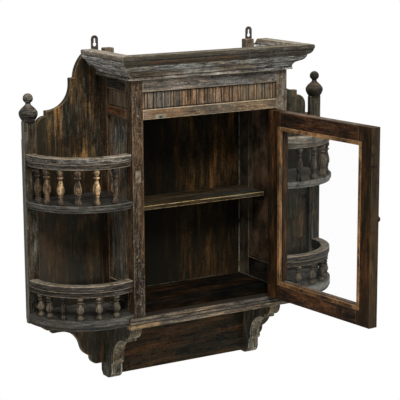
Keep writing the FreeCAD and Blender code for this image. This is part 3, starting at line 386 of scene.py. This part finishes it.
woods = {
    "streak_z": wood(
        "streaked_upright", "Z", (DEEP_BROWN, rgb(80, 58, 37), rgb(112, 80, 48), rgb(132, 97, 58)), COAT, cover=0.62,
        tone=(1.26, 1.27, 1.08), wear=0.15, grey=0.25, seed=1.0, band_scale=58, cloud=0.7, patches=[
            dict(x=RIGHT, y=WING_FACE, soft_y=CRISP, colour=rgb(72, 72, 67), share=0.6),
            # The lower part of the left wing darker: a darker stain, and painted shade under the upper gallery
            dict(x=LEFT, z=(-0.9, -0.36), colour=rgb(54, 53, 50), share=0.5, soft=0.03, even=True),
            dict(x=(-0.37, -0.31), z=(-0.53, -0.42), colour=rgb(92, 62, 38), share=0.4, soft=0.04),
            dict(x=(-0.4, -0.33), z=(-0.26, -0.1), colour=rgb(34, 29, 22), share=0.62, soft=0.03, even=True),
            # Painted shade on the wing faces behind the spindles
            dict(y=WING_FACE, z=(-0.355, -0.262), soft=0.008, soft_y=CRISP, colour=BLACK, share=0.86, even=True),
            dict(y=WING_FACE, z=(-0.64, -0.552), soft=0.008, soft_y=CRISP, colour=BLACK, share=0.7, even=True)]),
    "streak_x": wood(
        "streaked_level", "X", (rgb(44, 36, 27), rgb(64, 49, 34), rgb(92, 60, 38)), (rgb(26, 25, 20), rgb(46, 43, 35)),
        cover=0.45, tone=(1.03, 1.01, 0.87), wear=0.5, worn=rgb(150, 112, 74), grey=0.12, seed=2.0, band_scale=26,
        cloud=0.25, stain=0.45),
    "post_z": wood(
        "post_upright", "Z", (rgb(70, 54, 40), rgb(98, 76, 54), rgb(128, 100, 72)), (SOOT, rgb(58, 53, 46), GREY),
        cover=0.5, tone=(0.54, 0.49, 0.43), wear=0.35, grey=0.35, seed=3.0, specks=0.35, hidden=0.75,
        inner=rgb(64, 61, 54), patches=[
            dict(x=(0.17, 0.22), y=(-0.18, -0.1692), soft=0.0005, colour=rgb(160, 154, 144), share=0.75),
            dict(x=(-0.202, -0.190), z=(-0.300, -0.274), soft=0.004, colour=PALE, share=0.7),
            dict(y=(-0.06, 0.01), z=(-0.06, 0.01), soft=0.004, colour=rgb(150, 146, 134), share=0.7)]),
    "stile_z": wood(
        "stile_upright", "Z", (rgb(56, 44, 32), rgb(84, 66, 46)), (SOOT, ASH, GREY), cover=0.62,
        tone=(0.53, 0.53, 0.48), wear=0.4, worn=rgb(150, 146, 136), grey=0.45, specks=0.35, seed=3.6, patches=[
            dict(x=(-0.43, -0.4116), soft=0.0003, colour=rgb(140, 141, 136), share=0.55, even=True)]),
    "side_z": wood(
        "side_upright", "Z", (rgb(40, 30, 21), rgb(92, 68, 48), rgb(124, 94, 68)), (BLACK, SOOT, ASH), cover=0.56,
        tone=(3.51, 4.20, 4.70), wear=0.5, grey=0.6, seed=4.0, band_scale=110, hidden=0.92, inner=rgb(28, 17, 9),
        cloud=0.4, patches=[
            # Painted shade on the lower part of the sides, under the galleries
            dict(z=(-0.9, -0.33), colour=rgb(26, 22, 17), share=0.5, soft=0.05, even=True)]),
    "side_y": wood(
        "side_level", "Y", (BROWN, rgb(116, 78, 46), rgb(144, 98, 58)), (SOOT, ASH), cover=0.55,
        worn=rgb(150, 106, 66), wear=0.4, grey=0.25, seed=5.0, hidden=0.85, patches=[
            dict(z=(-0.62, -0.54), colour=SOOT, share=0.8, even=True)]),
    "side_dark": wood(
        "side_dark_level", "Y", (DEEP_BROWN, rgb(66, 54, 42), rgb(98, 82, 64)), (BLACK, SOOT, ASH), cover=0.55,
        tone=(1.1, 1.1, 1.1), wear=0.4, grey=0.4, seed=5.5, hidden=0.85),
    "inside_z": wood(
        "inside_upright", "Z", (rgb(34, 26, 17), rgb(56, 38, 21), rgb(84, 52, 26)), (BLACK, rgb(30, 25, 17)),
        cover=0.58, tone=(1.57, 1.69, 1.50), worn=SOOT, wear=0.3, grey=0.05, seed=6.0, band_scale=44, shine=0.02,
        patches=[
            # Painted shade on the left half of the back inside the case
            dict(x=(-0.3, 0.0), y=BACK_FACE, soft_x=0.06, soft_y=CRISP, colour=rgb(8, 8, 7), share=0.92, even=True),
            dict(z=(-0.7, -0.37), colour=BLACK, share=0.58, soft=0.02, even=True),
            dict(x=CORNER, y=BACK_FACE, soft_x=0.8 * MM, soft_y=CRISP, colour=rgb(112, 108, 98), share=0.7)]),
    "inside_shelf": wood(
        "inside_shelf", "X", (rgb(52, 40, 26), rgb(86, 64, 40), rgb(116, 84, 50)), (SOOT, rgb(60, 54, 44), GREY),
        cover=0.55, tone=(0.32, 0.35, 0.35), worn=rgb(226, 186, 128), wear=1.0, grey=0.3, seed=7.0, band_scale=60,
        shine=0.03),
    "inside_floor": wood(
        "inside_floor", "X", (rgb(40, 28, 18), rgb(72, 46, 28), rgb(96, 58, 34)), (BLACK, SOOT), cover=0.55,
        tone=(0.26, 0.30, 0.30), wear=0.0, grey=0.1, seed=7.5, band_scale=60, shine=0.02, cloud=0.5, patches=[
            # Pale lines along the back and in the right corner
            dict(y=(-0.0135, 0.0), z=FLOOR_TOP, soft_y=0.8 * MM, colour=PALE_LINE, share=0.8),
            dict(x=CORNER, z=FLOOR_TOP, soft_x=0.8 * MM, colour=PALE_LINE, share=0.8)]),
    "cornice_x": wood(
        "cornice_level", "X", (rgb(62, 52, 42), rgb(102, 90, 74), rgb(136, 116, 92)), PATINA, cover=0.7,
        tone=(1.55, 1.57, 1.53), worn=rgb(150, 134, 110), wear=0.5, grey=0.6, top=0.1, specks=0.12, seed=8.0, patches=[
            dict(z=(-0.0340, 0.004), colour=rgb(36, 31, 23), share=0.85, soft=0.0012, even=True),
            dict(x=(-0.19, 0.05), z=(-0.030, -0.022), colour=rgb(84, 58, 38), share=0.4, soft=0.003),
            dict(x=(-0.08, 0.01), z=(-0.062, -0.050), colour=PALE, share=0.5, soft=0.006),
            *dirt_and_shade_lines(*CORNICE_GROOVES)]),
    "cornice_y": wood(
        "cornice_return", "Y", (rgb(70, 62, 52), rgb(110, 98, 84)), PATINA, cover=0.76, tone=(2.66, 2.64, 2.66),
        worn=rgb(150, 138, 118), wear=0.5, grey=0.6, top=0.1, specks=0.4, seed=9.0, patches=[
            dict(z=(-0.019, 0.004), colour=rgb(52, 44, 34), share=0.75, soft=0.0012, even=True),
            *dirt_and_shade_lines(*CORNICE_GROOVES)]),
    "rail_x": wood(
        "top_rail_level", "X", (rgb(66, 56, 44), rgb(102, 84, 64), rgb(130, 104, 76)), (SOOT, ASH, GREY), cover=0.52,
        tone=(0.97, 1.19, 1.54), wear=0.4, grey=0.4, seed=10.0, band_scale=60),
    "light_x": wood(
        "lower_rail_level", "X", (rgb(92, 74, 54), rgb(132, 104, 74), rgb(162, 134, 100)),
        (rgb(50, 45, 38), rgb(98, 92, 80)), cover=0.42, tone=(0.75, 0.83, 0.96), worn=rgb(186, 160, 122), wear=0.8,
        grey=0.4, seed=11.0, hidden=0.7, patches=[
            dict(x=(-0.175, -0.07), colour=rgb(138, 96, 60), share=0.6, soft=0.02),
            dict(x=(-0.02, 0.07), colour=rgb(66, 62, 52), share=0.75, soft=0.03),
            dict(x=(0.1, 0.2), colour=rgb(120, 96, 66), share=0.5, soft=0.02),
            # A knot
            dict(x=(-0.150, -0.122), z=(-0.160, -0.149), colour=rgb(150, 150, 124), share=0.8, soft=0.004),
            dict(x=(-0.139, -0.132), z=(-0.157, -0.152), colour=BLACK, share=0.9, soft=0.002, even=True)]),
    "frieze_z": wood(
        "frieze_upright", "Z", (rgb(84, 66, 50), rgb(120, 92, 68), rgb(152, 110, 76)),
        (rgb(48, 45, 41), rgb(92, 86, 78)), cover=0.32, tone=(0.78, 0.86, 0.91), worn=rgb(150, 130, 106), wear=0.5,
        grey=0.45, seed=12.0, patches=[
            dict(x=(-0.4, -0.09), colour=rgb(128, 116, 100), share=0.4, soft=0.03),
            *dirt_and_shade_lines(-0.1345, -0.0975),
            dict(x=(0.06, 0.19), colour=rgb(150, 124, 94), share=0.45, soft=0.03),
            # Painted shade deep in the flutes of the front, then of the sides
            dict(y=(-0.1644, -0.15), colour=rgb(30, 25, 20), share=0.75, soft=CRISP, even=True),
            dict(x=(-0.2034, 0.2034), y=(-0.142, -0.05), colour=BLACK, share=0.9, soft=CRISP, even=True)]),
    "base_x": wood(
        "base_level", "X", (rgb(58, 50, 40), rgb(88, 76, 58), rgb(116, 94, 66)), (SOOT, rgb(62, 58, 51), ASH),
        cover=0.58, tone=(1.26, 1.31, 1.44), worn=rgb(140, 114, 82), wear=0.6, grey=0.4, seed=13.0, patches=[
            dark_top(-0.6166, -0.61, share=0.55),
            dict(x=(-0.182, 0.182), y=(-0.171, 0.0), z=(-0.6166, -0.61), soft=CRISP, soft_y=0.004,
                 colour=rgb(28, 23, 16), share=0.9, even=True),
            dict(x=(-0.235, -0.15), y=(-0.19, -0.17), z=(-0.645, -0.63), colour=rgb(136, 108, 70), share=0.75,
                 soft=0.006),
            *dirt_and_shade_lines(-0.6235, -0.6305)]),
    "gallery": wood(
        "gallery_bowed", "XY", (rgb(52, 44, 35), rgb(102, 90, 74)),
        (rgb(14, 14, 13), rgb(78, 77, 73), rgb(150, 148, 142)), cover=0.7, tone=(0.71, 0.66, 0.61),
        worn=rgb(184, 172, 152), wear=0.75, grey=0.5, top=0.4, seed=14.0, patches=[
            dict(z=(-0.6, -0.5), colour=SOOT, share=0.65, even=True),
            dict(x=(0, 0.5), z=(-0.3, -0.2), colour=rgb(144, 141, 130), share=0.55),
            # Painted shade on the lower band of each rail, away from the light from above
            dict(z=(-0.275, -0.2495), colour=SOOT, share=0.45, soft=0.003, even=True),
            dict(z=(-0.575, -0.5425), colour=SOOT, share=0.35, soft=0.003, even=True),
            *dirt_and_shade_lines(-0.2495, -0.5425)]),
    "shelf": wood(
        "gallery_shelf", "XY", (rgb(52, 45, 36), rgb(84, 76, 63)), (SOOT, ASH, GREY), cover=0.6,
        tone=(0.57, 0.60, 0.63), worn=rgb(150, 142, 126), wear=0.55, grey=0.5, top=0.12, seed=14.5, patches=[
            dict(x=RIGHT, colour=rgb(176, 172, 158), share=0.6),
            dict(x=LEFT, z=(-0.64, -0.6), colour=rgb(170, 166, 152), share=0.07, even=True),
            *dirt_and_shade_lines(-0.353, -0.626),
            dark_top(-0.3436, -0.33, share=0.7),
            dark_top(-0.6086, -0.6, share=0.6)]),
    "bracket_z": wood(
        "bracket_upright", "Z", (rgb(52, 44, 34), rgb(84, 70, 52)), (SOOT, rgb(64, 60, 52), GREY), cover=0.6,
        tone=(2.05, 2.16, 2.05), worn=TAN, wear=0.12, grey=0.45, seed=15.0, patches=[
            # Painted shade on the side faces of the brackets, darker than their fronts
            dict(x=(side - 0.8 * MM, side + 0.8 * MM), soft=CRISP, colour=BLACK, share=0.7, even=True)
            for side in BRACKET_SIDES]),
    "door_z": wood(
        "door_upright", "Z", (rgb(54, 38, 25), rgb(82, 55, 34), rgb(110, 72, 42)), (BLACK, rgb(38, 31, 24)),
        cover=0.56, tone=(0.81, 0.74, 0.55), worn=rgb(96, 76, 54), wear=0.25, grey=0.2, seed=16.0, patches=[
            dict(z=(-0.215, -0.165), colour=BLACK, share=0.55, soft=0.02),
            dict(z=(-0.63, -0.55), colour=BLACK, share=0.6, soft=0.03),
            dict(y=(-0.56, -0.47), colour=rgb(26, 24, 20), share=0.4, soft=0.01, even=True),
            dict(y=(-0.56, -0.5327), colour=rgb(80, 74, 62), share=0.35, soft=0.0004),
            # A crack in the free edge
            dict(x=(0.18, 0.2), y=(-0.56, -0.5327), z=(-0.2490, -0.2455), colour=BLACK, share=0.95, soft=0.6 * MM,
                 even=True)]),
    "door_y": wood(
        "door_level", "Y", (rgb(56, 36, 22), rgb(92, 56, 30), rgb(122, 74, 38)), (BLACK, rgb(42, 33, 25)),
        cover=0.46, tone=(0.66, 0.76, 0.92), worn=rgb(140, 122, 98), wear=0.15, grey=0.15, top=0.5, seed=17.0, patches=[
            dict(y=(-0.47, -0.42), colour=BLACK, share=0.8, soft=0.02),
            dict(y=(-0.25, -0.17), colour=BLACK, share=0.5, soft=0.03)]),
    "bead": wood(
        "bead_wood", "YZ", (rgb(96, 62, 34), rgb(138, 92, 54), rgb(160, 110, 66)), (DEEP_BROWN, BROWN), cover=0.3,
        tone=(0.71, 0.86, 1.04), worn=rgb(176, 130, 84), wear=0.6, grey=0.1, seed=18.0),
    "turned_gold": wood(
        "turned_gold", "Z", (rgb(112, 84, 54), rgb(170, 132, 86), rgb(206, 168, 116)), (BLACK, SOOT), cover=0.5,
        tone=(1.1, 1.2, 1.5), worn=rgb(206, 176, 132), wear=0.8, grey=0.15, seed=19.0, band_scale=130, patches=[
            dict(x=(-0.5, -0.375), colour=BLACK, share=0.6, even=True),
            # Feet and heads
            dict(z=(-0.36, -0.3245), colour=SOOT, share=0.7, soft=0.003, even=True),
            dict(z=(-0.276, -0.25), colour=SOOT, share=0.5, soft=0.003, even=True),
            *dirt_and_shade_lines(*UPPER_SPINDLE_GROOVES)]),
    "turned_grey": wood(
        "turned_grey", "Z", (rgb(92, 84, 72), rgb(134, 120, 100)), (BLACK, SOOT, ASH), cover=0.5,
        tone=(0.60, 0.59, 0.58), worn=TAN, wear=0.8, grey=0.3, seed=19.5, band_scale=130,
        patches=dirt_and_shade_lines(*LOWER_SPINDLE_GROOVES, *UPPER_SPINDLE_GROOVES)),
    "finial": wood(
        "finial_wood", "XY", (rgb(66, 58, 48), rgb(104, 90, 70)), (BLACK, rgb(58, 54, 48), GREY), cover=0.62,
        tone=(0.9, 0.9, 0.9), worn=TAN, wear=0.6, grey=0.4, top=0.2, seed=20.0, cloud=0.5, patches=[
            dict(x=(0.3, 0.5), colour=rgb(26, 25, 22), share=0.62, even=True)]),
}
glass = (clear_glass("pane"),)
hinge_metal = (metal("aged_brass", rgb(120, 98, 60), rgb(62, 50, 34), 0.5),)
hanger_metal = (metal("dark_iron", rgb(70, 66, 60), rgb(58, 44, 34), 0.55),)
nail_metal = (metal("dull_steel", rgb(150, 146, 138), rgb(72, 56, 42), 0.5),)
knob_finish = wood("knob_wood", "Z", (DEEP_BROWN, BROWN), COAT, wear=0.4, grey=0.1, seed=21.0)

# Woods by how the names of the nodes start. The longest start that fits counts.
FINISH = {
    "front_post": "post_z", "rear_post": "post_z", "wing_stile": "stile_z",
    "wing_board": "streak_z", "apron_board": "streak_x",
    "side_panel": "side_z", "side_foot_rail": "side_dark", "side_lower_rail": "side_y", "side_upper_rail": "side_dark",
    "side_frieze": "frieze_z", "frieze_panel": "frieze_z",
    "head_lower_rail": "light_x", "head_top_rail": "rail_x",
    "back_panel": "inside_z", "floor_board": "inside_floor", "interior_shelf": "inside_shelf",
    "shelf_cleats": "inside_floor", "top_board": "inside_floor", "base_board": "base_x",
    "cornice_front": "cornice_x", "cornice": "cornice_y",
    "upper_gallery_rail": "gallery", "lower_gallery_rail": "gallery",
    "upper_gallery_shelf": "shelf", "lower_gallery_shelf": "shelf",
    "upper_gallery_spindles_left": "turned_gold", "upper_gallery_spindles_right": "turned_grey",
    "lower_gallery_spindles": "turned_grey",
    "bracket": "bracket_z",
    "door_hinge_stile": "door_z", "door_free_stile": "door_z", "door_top_rail": "door_y", "door_bottom_rail": "door_y",
    "glazing_beads": "bead", "finial": "finial",
}
# Roundness of the edges in millimetres. Wider ones close up narrow ledges and leave loose faces.
USUAL_SOFTNESS = 1.6
SOFTNESS = {
    "side_frieze": 0.6, "cornice": 0.5, "cornice_front": 0.5, "back_panel": 0.4, "glazing_beads": 0.8,
    "base_board": 0.6, "upper_gallery_rail": 1.3, "lower_gallery_rail": 1.3, "upper_gallery_shelf": 1.3,
    "lower_gallery_shelf": 1.3, "door_top_rail": 1.3, "door_bottom_rail": 1.3, "door_free_stile": 1.3,
}
# Nodes whose edges aren't rounded
LEFT_SHARP = ("door_glass", "hanger_plates", "frieze_panel", "case_hinge_leaves", "door_hinge_leaves", "hinge_pins",
              "door_hinge_stile")


def finish_of(node):
    """The materials of a node: of its faces and, for wood, of its edges."""
    if node == "door_glass":
        return glass
    if "hinge_leaves" in node or node == "hinge_pins":
        return hinge_metal
    if node == "hanger_plates":
        return hanger_metal
    if node == "door_knob":
        return knob_finish
    longest = max((key for key in FINISH if node.startswith(key)), key=len)
    return woods[FINISH[longest]]


def soften(obj, width):
    """Rounds the sharp edges of a CAD node a little, as wear has."""
    weld = obj.modifiers.new("weld", "WELD")
    weld.merge_threshold = WELD
    flat = obj.modifiers.new("flat", "DECIMATE")
    flat.decimate_type = "DISSOLVE"
    flat.angle_limit = math.radians(0.5)
    bevel = obj.modifiers.new("bevel", "BEVEL")
    bevel.width = width
    bevel.segments = 3
    bevel.limit_method = "ANGLE"
    bevel.angle_limit = math.radians(35)
    bevel.material = 1
    normal = obj.modifiers.new("normal", "WEIGHTED_NORMAL")
    normal.keep_sharp = True


for node, obj in nodes.items():
    obj.data.materials.clear()
    for material in finish_of(node):
        obj.data.materials.append(material)
    if node not in LEFT_SHARP:
        kind = node.removesuffix("_left").removesuffix("_right")
        soften(obj, SOFTNESS.get(kind, USUAL_SOFTNESS) * MM)


# Turned pieces

def new_piece(name, mesh, body, finish):
    obj = bpy.data.objects.new(name, mesh)
    bpy.context.scene.collection.objects.link(obj)
    obj.data.materials.append(finish[0])
    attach(obj, body)
    return obj


def smooth_profile(points, steps):
    """Points on a smooth line through (height, radius) points, with so many steps from one to the next."""
    line = []
    for i in range(len(points) - 1):
        before = points[max(i - 1, 0)]
        start = points[i]
        end = points[i + 1]
        after = points[min(i + 2, len(points) - 1)]
        for step in range(steps):
            u = step / steps
            mixed = []
            for a, b, c, d in zip(before, start, end, after):
                mixed.append(0.5 * (2 * b + (c - a) * u + (2 * a - 5 * b + 4 * c - d) * u * u
                                    + (3 * b - a - 3 * c + d) * u ** 3))
            line.append((mixed[0], max(mixed[1], 0.0)))
    line.append(points[-1])
    return line


def lathe(bm, line, place, sides):
    """Turns a line of (height, radius) points round an axis and closes its two ends."""
    rings = []
    for height, radius in line:
        ring = []
        for i in range(sides):
            angle = 2 * math.pi * i / sides
            ring.append(bm.verts.new(place @ Vector((radius * math.cos(angle), radius * math.sin(angle), height))))
        rings.append(ring)
    for lower, upper in zip(rings, rings[1:]):
        for i in range(sides):
            after = (i + 1) % sides
            bm.faces.new((lower[i], lower[after], upper[after], upper[i])).smooth = True
    bm.faces.new(rings[0][::-1])
    bm.faces.new(rings[-1])


def mesh_from(bm, name):
    mesh = bpy.data.meshes.new(name)
    bm.to_mesh(mesh)
    bm.free()
    return mesh


def islands(obj):
    """The lowest and highest corners of each separate solid in a CAD node."""
    bm = bmesh.new()
    bm.from_mesh(obj.data)
    bmesh.ops.remove_doubles(bm, verts=bm.verts, dist=WELD)
    boxes = []
    left = set(bm.verts)
    while left:
        reached = [left.pop()]
        group = []
        while reached:
            vert = reached.pop()
            group.append(vert.co.copy())
            for edge in vert.link_edges:
                other = edge.other_vert(vert)
                if other in left:
                    left.remove(other)
                    reached.append(other)
        low = Vector(min(point[axis] for point in group) for axis in range(3))
        high = Vector(max(point[axis] for point in group) for axis in range(3))
        boxes.append((low, high))
    bm.free()
    return sorted(boxes, key=lambda box: (round(box[0].y, 5), round(box[0].x, 5)))


def facing(normal):
    """The turn that points an upright axis along a normal."""
    return normal.to_track_quat("Z", "Y").to_matrix().to_4x4()


# Shares of the height, and radii in millimetres
SPINDLE = [(0.0, 7.6), (0.05, 8.0), (0.09, 7.9), (0.13, 6.6), (0.19, 5.4), (0.225, 5.5), (0.24, 6.7), (0.26, 6.7),
           (0.275, 5.9), (0.31, 7.0), (0.36, 8.5), (0.42, 9.0), (0.48, 8.6), (0.56, 7.0), (0.65, 5.2), (0.715, 4.3),
           (0.735, 4.9), (0.752, 7.1), (0.77, 7.6), (0.787, 7.1), (0.805, 4.9), (0.83, 4.9), (0.87, 7.0),
           (0.915, 8.0), (0.955, 7.5), (1.0, 6.0)]
# Heights and radii in millimetres
FINIAL = [(0.0, 15.2), (1.5, 15.6), (3.5, 16.8), (8.0, 19.4), (13.0, 21.3), (17.0, 21.8), (21.0, 21.0), (26.0, 17.8),
          (31.0, 13.0), (35.0, 8.6), (38.0, 6.4), (40.5, 6.0), (42.0, 7.0), (45.0, 10.0), (48.0, 11.3), (51.0, 11.6),
          (54.5, 11.1), (58.0, 9.4), (60.6, 6.8), (62.2, 3.8), (62.8, 1.2)]
KNOB = [(0.0, 4.6), (1.2, 4.4), (2.2, 3.6), (8.0, 3.3), (9.8, 3.8), (11.4, 5.6), (13.4, 6.5), (15.2, 6.0), (16.8, 4.2),
        (17.8, 1.6), (18.0, 0.4)]
SPINDLE_SIDES, FINIAL_SIDES, KNOB_SIDES, HEAD_SIDES = 24, 40, 28, 16

for node in sorted(nodes):
    if "spindles" in node:
        bm = bmesh.new()
        for low, high in islands(nodes[node]):
            centre = (low + high) / 2
            rise = high.z - low.z
            line = smooth_profile([(share * rise, radius * MM) for share, radius in SPINDLE], 2)
            lathe(bm, line, Matrix.Translation((centre.x, centre.y, low.z)), SPINDLE_SIDES)
        piece = new_piece(f"turned_{node}", mesh_from(bm, node), "cabinet", finish_of(node))
        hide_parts(node)

for word in ("left", "right"):
    node = f"finial_{word}"
    low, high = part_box(node)
    centre = (low + high) / 2
    bm = bmesh.new()
    line = smooth_profile([(height * MM, radius * MM) for height, radius in FINIAL], 3)
    lathe(bm, line, Matrix.Translation((centre.x, centre.y, low.z)), FINIAL_SIDES)
    piece = new_piece(f"turned_{node}", mesh_from(bm, node), "cabinet", woods["finial"])
    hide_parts(node)

# The knob stands square on the door, which is open by the angle to its lower limit
opened = math.radians(-frame["joints"][0]["range_deg"][0])
outward = Vector((math.sin(opened), -math.cos(opened), 0))
foot = min(vert.co.dot(outward) for vert in nodes["door_knob"].data.vertices)
low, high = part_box("door_knob")
centre = (low + high) / 2
seat = centre + outward * (foot - centre.dot(outward))
bm = bmesh.new()
line = smooth_profile([(height * MM, radius * MM) for height, radius in KNOB], 3)
lathe(bm, line, Matrix.Translation(seat) @ facing(outward), KNOB_SIDES)
piece = new_piece("turned_door_knob", mesh_from(bm, "door_knob"), "door", knob_finish)
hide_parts("door_knob")


# Nails and screws

def head_on(bm, seat, normal, radius, proud):
    """A low round head that sits in a face and stands a little proud of it."""
    line = [(-0.4 * MM, radius), (proud * 0.5, radius), (proud, radius * 0.7)]
    lathe(bm, line, Matrix.Translation(seat) @ facing(normal), HEAD_SIDES)


FRONT, BACK = Vector((0, -1, 0)), Vector((0, 1, 0))
# Millimetres in from the outer side, and shares of the height
STILE_NAILS = ((13, 0.79), (20, 0.76), (26, 0.62), (14, 0.20), (21, 0.08))
POST_NAILS = ((15, 0.055), (15, 0.60), (15, 0.845), (15, 0.96))
bm = bmesh.new()
for node, marks, radius, proud in (("wing_stile_left", STILE_NAILS, 1.7 * MM, 0.35 * MM),
                                   ("front_post_left", POST_NAILS, 1.6 * MM, 0.3 * MM)):
    low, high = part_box(node)
    for across, up in marks:
        for side in (-1, 1):
            place = Vector((side * (abs(low.x) - across * MM), low.y, low.z + up * (high.z - low.z)))
            head_on(bm, place, FRONT, radius, proud)
new_piece("nails", mesh_from(bm, "nails"), "cabinet", nail_metal)

# Millimetres in from the outer side and up from the foot of the plates
HANGER_SCREWS = ((6, 8), (6, 22))
bm = bmesh.new()
low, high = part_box("hanger_plates")
for side in (-1, 1):
    for across, up in HANGER_SCREWS:
        place = Vector((side * (high.x - across * MM), 0, low.z + up * MM))
        head_on(bm, place, BACK, 3.0 * MM, 0.05 * MM)
new_piece("hanger_screws", mesh_from(bm, "hanger_screws"), "cabinet", hanger_metal)

# Millimetres in from the pin and up from the middle of a hinge
HINGE_SCREWS = ((9, -14), (17, 0), (9, 14))
HINGE_HALF_HEIGHT = 20 * MM
HINGE_SCREW_RADIUS, HINGE_SCREW_PROUD = 2.4 * MM, 0.03 * MM
LEAF_GAP = 0.1 * MM
pin = Vector(frame["record"]["behaviour"]["joints"][0]["pos_m"])
low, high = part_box("case_hinge_leaves")
swing = Matrix.Translation(Vector((pin.x, pin.y, 0))) @ Matrix.Rotation(opened, 4, "Z")
fixed = bmesh.new()
moving = bmesh.new()
for middle in (low.z + HINGE_HALF_HEIGHT, high.z - HINGE_HALF_HEIGHT):
    for depth, rise in HINGE_SCREWS:
        seat = Vector((LEAF_GAP, depth * MM, middle + rise * MM))
        head_on(fixed, seat + Vector((pin.x, pin.y, 0)), Vector((-1, 0, 0)), HINGE_SCREW_RADIUS, HINGE_SCREW_PROUD)
        seat.x = -seat.x
        head_on(moving, swing @ seat, swing.to_3x3() @ Vector((1, 0, 0)), HINGE_SCREW_RADIUS, HINGE_SCREW_PROUD)
new_piece("case_hinge_screws", mesh_from(fixed, "case_hinge_screws"), "cabinet", hinge_metal)
new_piece("door_hinge_screws", mesh_from(moving, "door_hinge_screws"), "door", hinge_metal)


# Stage, light and camera

def seen(t):
    """One for what the camera sees, also in mirrors and through glass, and nothing for light that falls on things."""
    path = t.node("LightPath").outputs
    indirect = t.math("MAXIMUM", path["Is Glossy Ray"], path["Is Transmission Ray"])
    return t.math("MAXIMUM", path["Is Camera Ray"], indirect)


def white_to_sight(name, colour, reach):
    """A pale matt surface that takes the object's shadow nearby, and is plain white to sight further off than reach."""
    material = bpy.data.materials.new(name)
    t = Tree(material)
    distance = t.node("VectorMath", operation="LENGTH")
    t.put(distance.inputs[0], t.node("TexCoord").outputs["Object"])
    share = t.times(seen(t), t.spread(distance.outputs["Value"], reach * 0.5, reach))
    matt = t.node("BsdfDiffuse")
    matt.inputs["Color"].default_value = colour
    t.finish(t.mix_shaders(share, matt, t.node("Emission")))
    return material


FLOOR_SIZE = 60
FLOOR_DROP = 0.9
FLOOR_COLOUR = (0.92, 0.92, 0.92, 1.0)
FLOOR_REACH = 2.0
bpy.ops.mesh.primitive_plane_add(size=FLOOR_SIZE, location=(0, 0, cad_box[0].z - FLOOR_DROP))
floor = bpy.context.object
floor.name = "floor"
floor.data.materials.append(white_to_sight("floor_white", FLOOR_COLOUR, FLOOR_REACH))

WHITE = (1, 1, 1, 1)
AMBIENT = 0.26
world = bpy.data.worlds.new("studio")
bpy.context.scene.world = world
t = Tree(world)
ambient = t.node("Background")
ambient.inputs["Color"].default_value = WHITE
ambient.inputs["Strength"].default_value = AMBIENT
backdrop = t.node("Background")
backdrop.inputs["Color"].default_value = WHITE
t.finish(t.mix_shaders(seen(t), ambient, backdrop), "OutputWorld")

# What the lights and the camera point at
TARGET = Vector((0.0655, -0.010, -0.39618))


def area_light(name, location, size, power):
    data = bpy.data.lights.new(name, "AREA")
    data.shape = "SQUARE"
    data.size = size
    data.energy = power
    light = bpy.data.objects.new(name, data)
    light.location = location
    light.rotation_mode = "QUATERNION"
    light.rotation_quaternion = (TARGET - light.location).to_track_quat("-Z", "Y")
    bpy.context.scene.collection.objects.link(light)


area_light("key", Vector((-1.1, -2.7, 2.6)), 1.6, 205)
area_light("fill", Vector((2.4, -2.6, 1.2)), 2.0, 26)
area_light("top", Vector((0.2, -0.9, 2.6)), 2.0, 32)

# The photo's camera, as fitted to points picked in the photo
AZIMUTH = math.radians(-31.42)
PITCH = math.radians(11.38)
ROLL = math.radians(-0.28)
DISTANCE = 3.70142
FOCAL_PIXELS, IMAGE_PIXELS, SENSOR_WIDTH = 1508, 400, 36
forward = Vector((-math.sin(AZIMUTH) * math.cos(PITCH), math.cos(AZIMUTH) * math.cos(PITCH), -math.sin(PITCH)))
level = Vector((math.cos(AZIMUTH), math.sin(AZIMUTH), 0))
upright = level.cross(forward)
right = level * math.cos(ROLL) + upright * math.sin(ROLL)
up = upright * math.cos(ROLL) - level * math.sin(ROLL)
camera_data = bpy.data.cameras.new("camera")
camera_data.sensor_width = SENSOR_WIDTH
camera_data.lens = FOCAL_PIXELS / IMAGE_PIXELS * SENSOR_WIDTH
camera = bpy.data.objects.new("camera", camera_data)
turn = Matrix((right, up, -forward)).transposed().to_4x4()
camera.matrix_world = Matrix.Translation(TARGET - forward * DISTANCE) @ turn
bpy.context.scene.collection.objects.link(camera)
bpy.context.scene.camera = camera
bpy.context.scene.view_settings.view_transform = "Standard"
